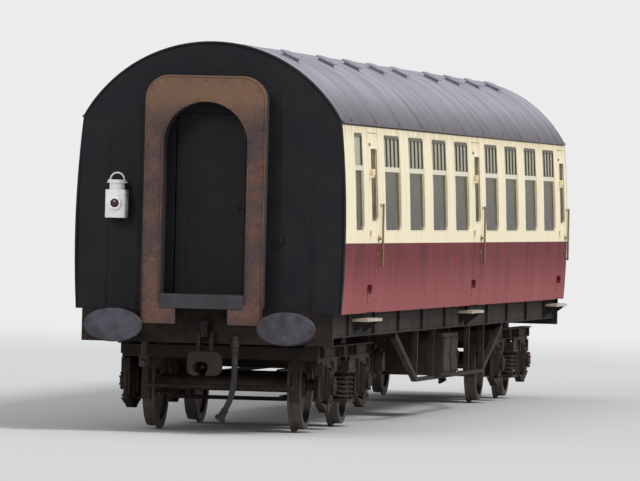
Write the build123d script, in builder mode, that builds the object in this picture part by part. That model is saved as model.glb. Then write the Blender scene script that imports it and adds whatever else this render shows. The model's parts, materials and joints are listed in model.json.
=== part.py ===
from build123d import *
import os
from math import atan2, cos, pi, radians, sin, sqrt

# A corridor railway passenger coach: an open saloon carriage on two four-wheel bogies, with side doors
# at both ends and in the middle, lavatories at one end and a bellows gangway on each end wall.
# Millimetres. X runs along the coach, with the lavatory end at -X; Z is up. Z = 0 is the lowest point
# of the wheel flanges, where the coach stands on a flat floor, so rail_top is one flange depth higher.

os.makedirs("parts", exist_ok=True)

near, far = -1, 1  # the two ends, as the sign of X; the lavatories are at the near end
right, left = -1, 1  # the two sides, as the sign of Y, for someone who faces +X
ends = {"near": near, "far": far}
sides = {"right": right, "left": left}
overrun = 10  # how far a cutter passes what it cuts

# Wheels and rails
flange_depth = 28
rail_top = flange_depth
wheel_radius = 457
wheel_back = 680  # inner face of the rim, from the centre line
rim_width = 130
rim_inner = 385
flange_crest = 28
flange_root = 36
tread_fall = 5
hub_radius = 125
hub_reach = (690, 820)
web_at_hub = (752, 780)
web_at_rim = (716, 744)
axle_radius = 80
journal_radius = 60
journal_end = 1068
wheelbase = 2591
bogie_centre = 7086.5
axle_z = rail_top + wheel_radius
axle_reach = wheelbase / 2

# Clearances
running_gap = 0.3  # round pins and journals
seat_gap = 0.3  # between pieces that are laid against each other
moving_gap = 6  # round doors

# Body shell
half_length = 9830
wall = 60
body_foot = rail_top + 1200
waist_height = rail_top + 1950
foot_half_width = 1345
waist_half_width = 1371.5
eaves_half_width = 1305
roof_top = rail_top + 3900
roof_radius = 1500
eaves_fillet = 350
cantrail = rail_top + 3100
end_thickness = 80
floor_thickness = 50
floor_top = body_foot + floor_thickness

# Bays, doors and windows, from the near end of the body
bay = 1905
bays_each = 4
saloon_length = bay * bays_each
lavatory_wall = 1740
partition = 40
first_saloon = 2640
second_saloon = 11060
door_centres = (2170, 10660, 19070)
door_width = 710
door_thickness = 50
door_top = rail_top + 3035
latch_gap = 12
window_width = 1219
window_foot = rail_top + 2045
window_height = 985
window_corner = 62
lavatory_window_centre = 1100
lavatory_window_width = 610
glass_thickness = 6
glass_inset = 22
droplight_width = 510
droplight_foot = rail_top + 2140
droplight_height = 740
droplight_corner = 55

shell_half = half_length - end_thickness
roof_centre = roof_top - roof_radius


def station(distance):
    """X of a point at a distance from the near end of the body."""
    return distance - half_length


def bay_centres():
    """X of the middle of each bay, over both saloons."""
    starts = (first_saloon, second_saloon)
    return [station(start + bay * (i + 0.5)) for start in starts for i in range(bays_each)]


def arc_through(first, second, third):
    """Centre and radius of the circle through three points."""
    squares = [p[0] ** 2 + p[1] ** 2 for p in (first, second, third)]
    gaps = (second[1] - third[1], third[1] - first[1], first[1] - second[1])
    spans = (third[0] - second[0], first[0] - third[0], second[0] - first[0])
    twice = 2 * sum(p[0] * g for p, g in zip((first, second, third), gaps))
    across = sum(q * g for q, g in zip(squares, gaps)) / twice
    up = sum(q * g for q, g in zip(squares, spans)) / twice
    return across, up, sqrt((first[0] - across) ** 2 + (first[1] - up) ** 2)


def inset_eaves(inset):
    """The point where side and roof meet, on a surface inset from the body's outside."""
    across = eaves_half_width - inset
    return across, roof_centre + sqrt((roof_radius - inset) ** 2 - across**2)


def side_y(z, inset=0):
    """Half-width at a height of the body's side, or of a surface inset from it: one long arc."""
    across, up, radius = arc_through((foot_half_width - inset, body_foot),
                                     (waist_half_width - inset, waist_height), inset_eaves(inset))
    return across + sqrt(radius**2 - (z - up) ** 2)


def body_section(inset=0, foot=body_foot, mode=Mode.ADD):
    """The body's cross-section, inset all round, in the current sketch (Y across, Z up)."""
    y_foot = side_y(foot) - inset
    y_waist = side_y(waist_height) - inset
    y_eaves, z_eaves = inset_eaves(inset)
    with BuildSketch(mode=Mode.PRIVATE) as outline:
        with BuildLine():
            Line((-y_foot, foot), (y_foot, foot))
            ThreePointArc((y_foot, foot), (y_waist, waist_height), (y_eaves, z_eaves))
            ThreePointArc((y_eaves, z_eaves), (0, roof_top - inset), (-y_eaves, z_eaves))
            ThreePointArc((-y_eaves, z_eaves), (-y_waist, waist_height), (-y_foot, foot))
        make_face()
        fillet([v for v in outline.vertices() if abs(v.Y - z_eaves) < 1], eaves_fillet - inset)
    add(outline.sketch_local, mode=mode)


def box(x0, x1, y0, y1, z0, z1, mode=Mode.ADD):
    """A block between two corners."""
    with Locations(((x0 + x1) / 2, (y0 + y1) / 2, (z0 + z1) / 2)):
        Box(abs(x1 - x0), abs(y1 - y0), abs(z1 - z0), mode=mode)


def rod(start, end, radius, mode=Mode.ADD):
    """A round bar between two points."""
    axis = Vector(*end) - Vector(*start)
    with Locations(Plane(origin=start, z_dir=axis)):
        Cylinder(radius, axis.length, align=(Align.CENTER, Align.CENTER, Align.MIN), mode=mode)


def save(builder, name):
    builder.part.label = name
    export_step(builder.part, f"parts/{name}.step")


def shell(outer, inner, x0, x1):
    """The body's wall between two insets, over a stretch of its length."""
    with BuildSketch(Plane.YZ.offset(x0)) as section:
        body_section(outer)
        body_section(inner, foot=body_foot - overrun, mode=Mode.SUBTRACT)
    extrude(section.sketch, amount=x1 - x0)


def half_shell(side, outer, inner, x0, x1, top):
    """One side of the body's wall, up to a height."""
    shell(outer, inner, x0, x1)
    split(bisect_by=Plane.XZ, keep=Keep.TOP if side == right else Keep.BOTTOM)
    split(bisect_by=Plane.XY.offset(top), keep=Keep.BOTTOM)


def window_shape(centre, width, foot, height, corner, side, shrink=0.0, mode=Mode.SUBTRACT):
    """A rounded opening through one side of the body."""
    outside = side * (waist_half_width + overrun)
    plane = Plane(origin=(centre, outside, foot + height / 2), x_dir=(1, 0, 0), z_dir=(0, -side, 0))
    with BuildSketch(plane) as opening:
        RectangleRounded(width - 2 * shrink, height - 2 * shrink, corner - shrink)
    extrude(opening.sketch, amount=3 * wall, mode=mode)


# Hinges of the side doors: pins stand on brackets of the body side, and the barrels are on the door
hinge_proud = 22  # from the widest part of the side out to the hinge line
hinge_axis = waist_half_width + hinge_proud
hinge_edge = 2  # from the door's edge to the hinge line, along the coach
hinge_heights = (rail_top + 1460, rail_top + 2020, rail_top + 2640)
hinge_sunk = 12  # how deep brackets and straps are let into the side
pin_radius = 7
pin_rise = 50
barrel_radius = 14
barrel_height = 60
barrel_drop = 5  # from a barrel down to the bracket that carries it
bracket_height = 24
bracket_root = (17, 39)  # from the hinge line, along the coach
bracket_arm = (-9, 28)
bracket_cover = 9
arm_gap = 6
strap_length = 60
strap_back = 10
strap_cover = 5

# Grab rails beside the doors, and lever handles on them
grab_foot = rail_top + 1700
grab_head = rail_top + 2300
grab_from_door = 75
grab_radius = 12
grab_stand = 30  # from the side to the rail's centre line
grab_over = 20
post_radius = 9
post_sunk = 20
lever_height = rail_top + 1960
lever_from_edge = 70
lever_half = 70
lever_thickness = 14
lever_stand = 20
spindle_radius = 14


def hinge_x(distance, side):
    """The hinge line of a door: at the left edge, as seen from outside."""
    return station(distance) + side * (door_width / 2 + hinge_edge)


def grab_rail(x, side):
    for z in (grab_foot, grab_head):
        inner, outer = side_y(z) - post_sunk, side_y(z) + grab_stand
        rod((x, side * inner, z), (x, side * outer, z), post_radius)
    low, high = side_y(grab_foot) + grab_stand, side_y(grab_head) + grab_stand
    rod((x, side * low, grab_foot - grab_over), (x, side * high, grab_head + grab_over), grab_radius)


def hinge_bracket(x, side, z):
    """A bracket let into the pillar, with the pin that stands on it."""
    top = z - barrel_height / 2 - barrel_drop
    foot = top - bracket_height
    outer = side * (hinge_axis + bracket_cover)
    box(x + side * bracket_root[0], x + side * bracket_root[1], side * (side_y(z) - hinge_sunk), outer,
        foot, top)
    box(x + side * bracket_arm[0], x + side * bracket_arm[1], side * (side_y(z) + arm_gap), outer, foot, top)
    rod((x, side * hinge_axis, foot), (x, side * hinge_axis, top + barrel_drop + pin_rise), pin_radius)


def body_side(side, name):
    with BuildPart() as bodyside:
        half_shell(side, 0, wall, -shell_half, shell_half, cantrail)
        for centre in bay_centres():
            window_shape(centre, window_width, window_foot, window_height, window_corner, side)
        window_shape(station(lavatory_window_centre), lavatory_window_width, window_foot, window_height,
                     window_corner, side)
        for distance in door_centres:
            latch_edge = station(distance) - side * (door_width / 2 + latch_gap)
            hinge_side = station(distance) + side * (door_width / 2 + moving_gap)
            box(latch_edge, hinge_side, side * (foot_half_width - 3 * wall), side * (waist_half_width + wall),
                body_foot - overrun, door_top + moving_gap, mode=Mode.SUBTRACT)
        for distance in door_centres:
            for z in hinge_heights:
                hinge_bracket(hinge_x(distance, side), side, z)
            grab_rail(station(distance) - side * (door_width / 2 + grab_from_door), side)
    save(bodyside, name)


for word, side in sides.items():
    body_side(side, f"bodyside_{word}")


# Roof with its rain strips
strip_half = 20
strip_foot = cantrail + 14
strip_height = 24
with BuildPart() as roof:
    shell(0, wall, -shell_half, shell_half)
    split(bisect_by=Plane.XY.offset(cantrail), keep=Keep.TOP)
    for side in sides.values():
        edge = side * side_y(strip_foot + strip_height / 2)
        box(-shell_half, shell_half, edge - strip_half, edge + strip_half,
            strip_foot, strip_foot + strip_height)
save(roof, "roof")


# Windows: a flat pane in each opening, and a sliding ventilator frame across its top
all_windows = [(centre, window_width, 4) for centre in bay_centres()]  # centre, width, ventilator lights
all_windows += [(station(lavatory_window_centre), lavatory_window_width, 1)]
pane_margin = 20


def pane_plane(centre, foot, height, side, inset):
    """The plane of a flat pane that leans with the body side."""
    low, high = side_y(foot) - inset, side_y(foot + height) - inset
    lean = atan2(low - high, height)
    return Plane(origin=(centre, side * (low + high) / 2, foot + height / 2), x_dir=(1, 0, 0),
                 z_dir=(0, side * cos(lean), sin(lean)))


def pane(centre, width, foot, height, corner, side):
    with BuildPart(mode=Mode.PRIVATE) as slab:
        with BuildSketch(pane_plane(centre, foot, height, side, glass_inset)):
            Rectangle(width + 2 * pane_margin, height + 2 * pane_margin)
        extrude(amount=glass_thickness)
        window_shape(centre, width, foot, height, corner, side, shrink=running_gap, mode=Mode.INTERSECT)
    return slab.part


for word, side in sides.items():
    with BuildPart() as glass:
        for centre, width, lights in all_windows:
            add(pane(centre, width, window_foot, window_height, window_corner, side))
    save(glass, f"glass_{word}")

vent_foot = rail_top + 2650
vent_bar = 34
vent_sill = 52
vent_depth = 14
light_corner = 12
window_top = window_foot + window_height


def ventilator(centre, width, lights, side):
    """A sliding ventilator: a frame with its lights, flat against the pane's outer face."""
    plane = pane_plane(centre, window_foot, window_height, side, glass_inset - glass_thickness - seat_gap)
    middle = window_foot + window_height / 2
    inner = width - 2 * vent_bar
    light = (inner - (lights - 1) * vent_bar) / lights
    light_foot, light_top = vent_foot + vent_sill, window_top - vent_bar
    down = -side  # the plane's own Y runs down on the left side of the coach
    with BuildPart(mode=Mode.PRIVATE) as frame:
        with BuildSketch(plane):
            with Locations((0, down * ((window_top + vent_foot) / 2 - middle))):
                Rectangle(width + 2 * pane_margin, window_top - vent_foot)
            for i in range(lights):
                across = (light - inner) / 2 + i * (light + vent_bar)
                with Locations((across, down * ((light_top + light_foot) / 2 - middle))):
                    RectangleRounded(light, light_top - light_foot, light_corner, mode=Mode.SUBTRACT)
        extrude(amount=vent_depth)
        window_shape(centre, width, window_foot, window_height, window_corner, side, shrink=running_gap,
                     mode=Mode.INTERSECT)
    return frame.part


with BuildPart() as ventilators:
    for side in sides.values():
        for centre, width, lights in all_windows:
            add(ventilator(centre, width, lights, side))
save(ventilators, "window_ventilators")


# Side doors: a leaf with a droplight opening, hinge barrels and a lever handle
latch_relief = 20  # how far the latch edge is bevelled back at its inner face
latch_face = 5  # depth of the door's edge that stays square
bevel_depth = 90


def door_hinge(x, edge, side, z):
    """A strap on the door, with the barrel that turns on a pin of the body side."""
    foot, top = z - barrel_height / 2, z + barrel_height / 2
    axis_y = side * hinge_axis
    box(x - side * strap_back, edge - side * strap_length, side * (side_y(z) - hinge_sunk),
        axis_y + side * strap_cover, foot, top)
    rod((x, axis_y, foot), (x, axis_y, top), barrel_radius)
    rod((x, axis_y, foot - barrel_drop), (x, axis_y, foot + pin_rise + 1), pin_radius + running_gap,
        mode=Mode.SUBTRACT)


def side_door(distance, side, name):
    x = station(distance)
    free_edge = x - side * door_width / 2
    hinge_side = x + side * door_width / 2
    skin = side * (eaves_half_width - latch_face)
    back = side * (eaves_half_width - bevel_depth)
    with BuildPart() as door:
        half_shell(side, 0, door_thickness, x - door_width / 2, x + door_width / 2, door_top)
        split(bisect_by=Plane.XY.offset(body_foot + moving_gap), keep=Keep.TOP)
        window_shape(x, droplight_width, droplight_foot, droplight_height, droplight_corner, side)
        # the latch edge is bevelled inwards, so that it clears the pillar as the door swings
        with BuildPart(mode=Mode.SUBTRACT):
            with BuildSketch(Plane.XY.offset(body_foot)):
                with BuildLine():
                    Polyline((free_edge, skin), (free_edge - side * latch_face, skin),
                             (free_edge - side * latch_face, back), (free_edge + side * latch_relief, back),
                             close=True)
                make_face()
            extrude(amount=door_top - body_foot)
        for z in hinge_heights:
            door_hinge(hinge_x(distance, side), hinge_side, side, z)
        lever_x = free_edge + side * lever_from_edge
        surface = side_y(lever_height)
        rod((lever_x, side * (surface - hinge_sunk), lever_height),
            (lever_x, side * (surface + lever_stand + strap_cover), lever_height), spindle_radius)
        box(lever_x - lever_half, lever_x + lever_half, side * (surface + lever_stand),
            side * (surface + lever_stand + lever_thickness),
            lever_height - hinge_sunk, lever_height + hinge_sunk)
    save(door, name)
    with BuildPart() as light:
        add(pane(x, droplight_width, droplight_foot, droplight_height, droplight_corner, side))
    save(light, f"{name}_glass")


for word, side in sides.items():
    for i, distance in enumerate(door_centres, 1):
        side_door(distance, side, f"door_{word}_{i}")


# End walls, swept back beside the gangway, with a doorway and lamp irons
end_sweep = 35  # how far the outer parts of an end wall lie back
end_flat_half = 700
end_corner = 30
corner_depth = (8, 34)  # from the wall's inner face, where its outer corner starts and swells
doorway_half = 345
doorway_top = rail_top + 3180
door_recess = 10  # from the leaf's edge out to the doorway's side
iron_places = ((920, 2080), (-735, 1890))  # across the near end, and the foot's height above the rail
iron_width = 46
iron_reach = 40
iron_thickness = 12
iron_tongue = 8
iron_height = 100

# End doors open inwards, on pins that stand inside the end wall
end_leaf = 40
end_leaf_set = 8  # from the wall's inner face to the leaf
end_pin_set = 18  # from the wall's inner face to the hinge pins
end_hinge_heights = (floor_top + 250, floor_top + 1000, floor_top + 1700)
end_barrel_radius = 12
end_arm = (7, 40)
end_block_start = 14
panel_half = 230
panel_depth = 8
panel_heights = ((rail_top + 1420, rail_top + 2190), (rail_top + 2310, rail_top + 3010))
knob_height = rail_top + 2250
knob_radius = 16
knob_from_edge = 60
knob_stand = (40, 30)


def end_face(y):
    """Distance of the outer face of an end wall from the middle of the coach."""
    slope = end_sweep / (eaves_half_width - end_corner - end_flat_half)
    return half_length - max(0.0, abs(y) - end_flat_half) * slope


def end_plan(end):
    """The end wall seen from above, in the current sketch: flat in the middle, swept and rounded outside."""
    back = shell_half
    shoulder = eaves_half_width - end_corner
    tip = waist_half_width + 1
    start, swell = end * (back + corner_depth[0]), end * (back + corner_depth[1])
    swept = end * (half_length - end_sweep)
    halfway = (shoulder + tip) / 2 + overrun + latch_face
    with BuildLine() as outline:
        Polyline((start, tip), (end * back, tip), (end * back, -tip), (start, -tip))
        ThreePointArc((start, -tip), (swell, -halfway), (swept, -shoulder))
        Polyline((swept, -shoulder), (end * half_length, -end_flat_half), (end * half_length, end_flat_half),
                 (swept, shoulder))
        ThreePointArc((swept, shoulder), (swell, halfway), (start, tip))
    make_face(outline.line)


def lamp_iron(end, y, foot):
    face = end_face(y)
    y0, y1 = y - iron_width / 2, y + iron_width / 2
    box(end * (face - iron_thickness), end * (face + iron_reach), y0, y1, foot, foot + iron_thickness)
    box(end * (face + iron_reach - iron_tongue), end * (face + iron_reach), y0, y1, foot, foot + iron_height)


def end_wall(end, name):
    with BuildPart() as panel:
        with BuildSketch(Plane.YZ.offset(end * shell_half)) as section:
            body_section()
        extrude(section.sketch, amount=end * end_thickness)
        with BuildSketch(Plane.XY.offset(body_foot - overrun)) as plan:
            end_plan(end)
        extrude(plan.sketch, amount=roof_top, mode=Mode.INTERSECT)
        box(end * (half_length + overrun), end * (shell_half - overrun), -doorway_half - door_recess,
            doorway_half + door_recess, floor_top, doorway_top, mode=Mode.SUBTRACT)
        for across, foot in iron_places:
            lamp_iron(end, -end * across, rail_top + foot)
        hinge_y = -end * doorway_half
        pin_x = end * (shell_half - end_pin_set)
        for z in end_hinge_heights:
            top = z - barrel_drop
            foot = top - bracket_height
            rod((pin_x, hinge_y, foot), (pin_x, hinge_y, z + pin_rise), pin_radius)
            box(pin_x - end * bracket_cover, pin_x + end * end_arm[0], hinge_y + end * end_arm[0],
                hinge_y - end * end_arm[1], foot, top)
            box(pin_x, end * shell_half + end * barrel_drop, hinge_y - end * end_block_start,
                hinge_y - end * end_arm[1], foot, top)
    save(panel, name)


def end_door(end, name):
    inside = end * (shell_half + end_leaf_set)
    outside = inside + end * end_leaf
    hinge_y = -end * doorway_half
    pin_x = end * (shell_half - end_pin_set)
    with BuildPart() as leaf:
        box(inside, outside, -doorway_half, doorway_half, floor_top + moving_gap, doorway_top - moving_gap)
        for face, outwards in ((inside, -end), (outside, end)):
            for foot, top in panel_heights:
                box(face + outwards * panel_depth, face - outwards * panel_depth, -panel_half, panel_half,
                    foot, top, mode=Mode.SUBTRACT)
        for z in end_hinge_heights:
            box(pin_x, inside + end * hinge_edge, hinge_y, hinge_y + end * end_arm[1], z, z + barrel_height)
            rod((pin_x, hinge_y, z), (pin_x, hinge_y, z + barrel_height), end_barrel_radius)
            rod((pin_x, hinge_y, z - barrel_drop), (pin_x, hinge_y, z + pin_rise + 1),
                pin_radius + running_gap, mode=Mode.SUBTRACT)
        knob_y = hinge_y + end * (2 * doorway_half - knob_from_edge)
        rod((inside - end * knob_stand[0], knob_y, knob_height),
            (outside + end * knob_stand[1], knob_y, knob_height), knob_radius)
    save(leaf, name)


for word, end in ends.items():
    end_wall(end, f"end_wall_{word}")
    end_door(end, f"end_door_{word}")


# Floor and partitions
with BuildPart() as floor:
    floor_half = side_y(body_foot, wall) - seat_gap
    box(-shell_half, shell_half, -floor_half, floor_half, body_foot, floor_top)
save(floor, "floor")

inner_doorway_half = 345
inner_doorway_top = floor_top + 1950
passage_half = 390
lavatory_doorway = (700, 1300)  # from the near end of the body
partition_starts = (lavatory_wall, first_saloon - partition, first_saloon + saloon_length - partition,
                    second_saloon - partition, second_saloon + saloon_length - partition)
with BuildPart() as partitions:
    for start in partition_starts:
        with BuildSketch(Plane.YZ.offset(station(start))):
            body_section(wall + seat_gap, foot=floor_top)
            with Locations((0, (floor_top + inner_doorway_top) / 2)):
                Rectangle(2 * inner_doorway_half, inner_doorway_top - floor_top, mode=Mode.SUBTRACT)
        extrude(amount=partition)
    for side in sides.values():
        with BuildSketch(Plane.YZ.offset(-shell_half)):
            body_section(wall + seat_gap, foot=floor_top)
            with Locations((side * (passage_half + partition / 2), 0)):
                Rectangle(partition, 2 * roof_top, mode=Mode.INTERSECT)
        extrude(amount=station(lavatory_wall) + shell_half - seat_gap)
        box(station(lavatory_doorway[0]), station(lavatory_doorway[1]), side * (passage_half - overrun),
            side * (passage_half + partition + overrun), floor_top, inner_doorway_top, mode=Mode.SUBTRACT)
save(partitions, "partitions")

# Double seats, back to back between the bays
aisle_half = 270
seat_lap = 1  # from the seats and tables to the body side or a partition
seat_box_depth = 430
seat_box_top = 270
seat_reach = 590
seat_nose = 6
cushion_top = 450
cushion_drop = 30
seat_back_top = 1150
back_foot_depth = 190
back_head_depths = (110, 70)
back_head_drop = 60


def seat_profile(x, facing, gap):
    """One seat from the side, in the current sketch: box, cushion and reclined back."""
    with BuildLine() as outline:
        Polyline((x + facing * gap, floor_top),
                 (x + facing * seat_box_depth, floor_top),
                 (x + facing * seat_box_depth, floor_top + seat_box_top),
                 (x + facing * seat_reach, floor_top + seat_box_top + cushion_drop),
                 (x + facing * (seat_reach + seat_nose), floor_top + cushion_top - cushion_drop),
                 (x + facing * (seat_reach - cushion_drop), floor_top + cushion_top),
                 (x + facing * back_foot_depth, floor_top + cushion_top - cushion_drop),
                 (x + facing * back_head_depths[0], floor_top + seat_back_top - back_head_drop),
                 (x + facing * back_head_depths[1], floor_top + seat_back_top),
                 (x + facing * gap, floor_top + seat_back_top), close=True)
    make_face(outline.line)


with BuildPart() as seats:
    seat_width = side_y(floor_top, wall) - seat_lap - aisle_half
    for side in sides.values():
        for start in (first_saloon, second_saloon):
            for i in range(bays_each + 1):
                x = station(start + bay * i)
                with BuildSketch(Plane.XZ.offset(-side * aisle_half)):
                    if i > 0:
                        seat_profile(x, -1, partition + seat_lap if i == bays_each else 0)
                    if i < bays_each:
                        seat_profile(x, 1, seat_lap if i == 0 else 0)
                extrude(amount=-side * seat_width)
save(seats, "seats")

# Tables between the facing seats
table_top = floor_top + 720
table_thickness = 28
table_half = 280
table_inner = 340
leg_half = 150
leg_inner = 380
leg_thickness = 40
with BuildPart() as tables:
    table_foot = table_top - table_thickness
    for side in sides.values():
        for x in bay_centres():
            reach = side_y(table_foot, wall) - seat_lap
            box(x - table_half, x + table_half, side * table_inner, side * reach, table_foot, table_top)
            box(x - leg_half, x + leg_half, side * leg_inner, side * (leg_inner + leg_thickness),
                floor_top, table_foot)
save(tables, "tables")

# Luggage racks: three rods on brackets along each side of a saloon
rack_height = rail_top + 3062
rack_rod = 12
rod_places = (16, 150, 290)  # in from the wall
rack_depth = 300
rack_end_gap = 8
rack_bracket_half = 12
rack_bracket_end = 20
rack_bracket_heights = (-14, 4)
with BuildPart() as racks:
    rack_outer = side_y(rack_height + rack_bracket_heights[1], wall) - seat_lap
    for side in sides.values():
        for start in (first_saloon, second_saloon):
            x0 = station(start + rack_end_gap)
            x1 = station(start + saloon_length - partition - rack_end_gap)
            for place in rod_places:
                y = side * (rack_outer - place)
                rod((x0, y, rack_height), (x1, y, rack_height), rack_rod)
            for i in range(bays_each + 1):
                x = x0 + rack_bracket_end + i * (x1 - x0 - 2 * rack_bracket_end) / bays_each
                box(x - rack_bracket_half, x + rack_bracket_half, side * (rack_outer - rack_depth),
                    side * (rack_outer + seat_lap - seat_gap), rack_height + rack_bracket_heights[0],
                    rack_height + rack_bracket_heights[1])
save(racks, "luggage_racks")


# Roof ventilators: low domes on necks, in two rows
dome_angle = 24
dome_radius = 125
dome_rim = 12
dome_height = 66
neck_radius = 90
neck_height = 30
dome_seat = roof_radius - 2
with BuildPart(mode=Mode.PRIVATE) as dome:
    with BuildSketch(Plane.XZ) as half_dome:
        with BuildLine():
            Polyline((0, dome_height), (0, 0), (neck_radius, 0), (neck_radius, neck_height),
                     (dome_radius, neck_height), (dome_radius, neck_height + dome_rim))
            RadiusArc((dome_radius, neck_height + dome_rim), (0, dome_height),
                      -(dome_radius**2 + (dome_height - neck_height - dome_rim) ** 2)
                      / (2 * (dome_height - neck_height - dome_rim)))
        make_face()
    revolve(half_dome.sketch, axis=Axis.Z)
with BuildPart() as domes:
    for side in sides.values():
        for centre, width, lights in all_windows:
            lean = side * radians(dome_angle)
            spot = (centre, dome_seat * sin(lean), roof_centre + dome_seat * cos(lean))
            with Locations(Plane(origin=spot, x_dir=(1, 0, 0), z_dir=(0, sin(lean), cos(lean)))):
                add(dome.part)
    with BuildPart(mode=Mode.SUBTRACT):
        with Locations(Plane(origin=(0, 0, roof_centre), z_dir=(1, 0, 0))):
            Cylinder(roof_radius + seat_gap, 2 * half_length)
save(domes, "roof_ventilators")


# Gangways: pleated bellows, a face plate on two feet, a footplate and the buffing plate at its front
gangway_reach = 394
face_half = 609
face_foot = rail_top + 1075
face_top = rail_top + 3550
face_corner = 240
face_thickness = 45
foot_inner = 265
foot_height = 150
opening_half = 425
opening_top = rail_top + 3290
footplate_top = rail_top + 1290
footplate_thickness = 30
footplate_gap = 2
buffing_foot = face_foot + foot_height + 5
buffing_top = rail_top + 1377
buffing_round = 20
pleats = 5
pleat_depth = 34
crest_share = 0.7  # of each fold, the rest is its valley
bellows_foot = rail_top + 1240
bellows_set = 30  # in from the face plate's outline
bellows_lap = 12  # out from the face plate's opening
bellows_corner = face_corner - 40
plate_back = half_length + gangway_reach - face_thickness


def arch(half, foot, top):
    """Cuts an upright opening with a round head, in the current sketch."""
    with Locations((0, (foot + top - half) / 2)):
        Rectangle(2 * half, top - half - foot, mode=Mode.SUBTRACT)
    with Locations((0, top - half)):
        Circle(half, mode=Mode.SUBTRACT)


def frame_outline(half, foot, top, corner):
    """An upright outline with two rounded top corners, as a private sketch."""
    with BuildSketch(mode=Mode.PRIVATE) as outline:
        with Locations((0, (foot + top) / 2)):
            Rectangle(2 * half, top - foot)
        fillet([v for v in outline.vertices() if v.Y > foot + 1], corner)
    return outline.sketch_local


with BuildPart() as faceplates:
    for end in ends.values():
        with BuildSketch(Plane.YZ.offset(end * plate_back)) as plate:
            add(frame_outline(face_half, face_foot, face_top, face_corner))
            arch(opening_half, face_foot + foot_height, opening_top)
            with Locations((0, face_foot + foot_height / 2)):
                Rectangle(2 * foot_inner, foot_height, mode=Mode.SUBTRACT)
        extrude(plate.sketch, amount=end * face_thickness)
save(faceplates, "gangway_faceplates")

fold = (plate_back - half_length) / pleats
fold_parts = ((0, crest_share, 0), (crest_share, 1, pleat_depth))  # start and end in a fold, and depth
with BuildPart() as bellows:
    for end in ends.values():
        for i in range(pleats):
            for start, stop, depth in fold_parts:
                with BuildSketch(Plane.YZ.offset(end * (half_length + (i + start) * fold))) as ring:
                    add(frame_outline(face_half - bellows_set - depth, bellows_foot,
                                      face_top - bellows_set - depth, bellows_corner))
                    arch(opening_half + bellows_lap, bellows_foot - overrun, opening_top + bellows_lap)
                extrude(ring.sketch, amount=end * (stop - start) * fold)
save(bellows, "gangway_bellows")

with BuildPart() as footplates:
    reach = opening_half - footplate_gap
    for end in ends.values():
        box(end * half_length, end * plate_back, -reach, reach,
            footplate_top - footplate_thickness, footplate_top)
        with BuildSketch(Plane.XZ.offset(-reach)) as buffing:
            with Locations((end * (plate_back + face_thickness / 2), (buffing_foot + buffing_top) / 2)):
                Rectangle(face_thickness, buffing_top - buffing_foot)
            fillet([v for v in buffing.vertices() if v.Y > buffing_foot + 1], buffing_round)
        extrude(buffing.sketch, amount=2 * reach)
save(footplates, "gangway_footplates")


# Underframe: solebars, headstocks and cross bearers, with a centre pin over each bogie
solebar_foot = rail_top + 955
solebar_half = 1232
solebar_flange = 75
solebar_web = 12
centre_sill = (280, 320)
centre_sill_foot = body_foot - 150
headstock_foot = rail_top + 880
headstock_depth = 75
headstock_half = 1270
bearer_foot = rail_top + 1000
bearer_places = (950, 2250, 2900, 4350, 5000, 9000)
bearer_half = 30
bearer_set = 5  # inside the solebars' outer faces
body_bolster_half = 200
centre_pin_radius = 60
centre_pin_foot = rail_top + 800
centre_plate_radius = 150
centre_plate_thickness = 18

with BuildPart() as underframe:
    run = half_length - headstock_depth
    bearer_end = solebar_half - bearer_set
    for side in sides.values():
        inner, outer = side * (solebar_half - solebar_flange), side * solebar_half
        box(-run, run, side * (solebar_half - solebar_web), outer, solebar_foot, body_foot)
        box(-run, run, inner, outer, solebar_foot, solebar_foot + solebar_web)
        box(-run, run, inner, outer, body_foot - solebar_web, body_foot)
        box(-run, run, side * centre_sill[0], side * centre_sill[1], centre_sill_foot, body_foot)
    for end in ends.values():
        box(end * run, end * half_length, -headstock_half, headstock_half, headstock_foot, body_foot)
        for place in bearer_places:
            x = end * place
            box(x - bearer_half, x + bearer_half, -bearer_end, bearer_end, bearer_foot, body_foot)
        x = end * bogie_centre
        box(x - body_bolster_half, x + body_bolster_half, -bearer_end, bearer_end, solebar_foot, body_foot)
save(underframe, "underframe")

with BuildPart() as pins:
    for end in ends.values():
        x = end * bogie_centre
        rod((x, 0, solebar_foot), (x, 0, solebar_foot - centre_plate_thickness), centre_plate_radius)
        rod((x, 0, solebar_foot), (x, 0, centre_pin_foot), centre_pin_radius)
save(pins, "centre_pins")

# A truss under each solebar: a bottom bar on posts, and a sloping brace at each end
truss_y = 1180
truss_half = 30
truss_foot = rail_top + 400
truss_bar = 40
post_places = (1560, 2900)
brace_end = 4700
brace_depth = 60
brace_seat = 80
with BuildPart() as trusses:
    for side in sides.values():
        y0, y1 = side * (truss_y - truss_half), side * (truss_y + truss_half)
        last = post_places[-1]
        box(-last, last, y0, y1, truss_foot, truss_foot + truss_bar)
        for end in ends.values():
            for place in post_places:
                box(end * place - truss_half, end * place + truss_half, y0, y1, truss_foot, solebar_foot)
            with BuildSketch(Plane.XZ.offset(-y0)) as brace:
                with BuildLine():
                    Polyline((end * last, truss_foot), (end * brace_end, solebar_foot - brace_depth),
                             (end * brace_end, solebar_foot), (end * (brace_end - brace_seat), solebar_foot),
                             (end * last, truss_foot + brace_depth), close=True)
                make_face()
            extrude(brace.sketch, amount=-side * 2 * truss_half)
save(trusses, "trusses")


# Buffers: a tapered housing on a base plate, and an oval head on its ram
buffer_y = 870
buffer_z = rail_top + 1050
buffer_reach = 500
base_size = (360, 320)
base_corner = 40
base_thickness = 22
housing_radius = 135
housing_reach = 330
housing_taper = 4
housing_lip = 14
ram_radius = 86
neck_radii = (130, 30)  # of the disc behind the head, and its thickness
head_radii = (296, 168)
head_thickness = 32
head_round = 12


def buffer_plane(end, side, reach=0):
    return Plane(origin=(end * (half_length + reach), side * buffer_y, buffer_z),
                 x_dir=(0, 1, 0), z_dir=(end, 0, 0))


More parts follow.
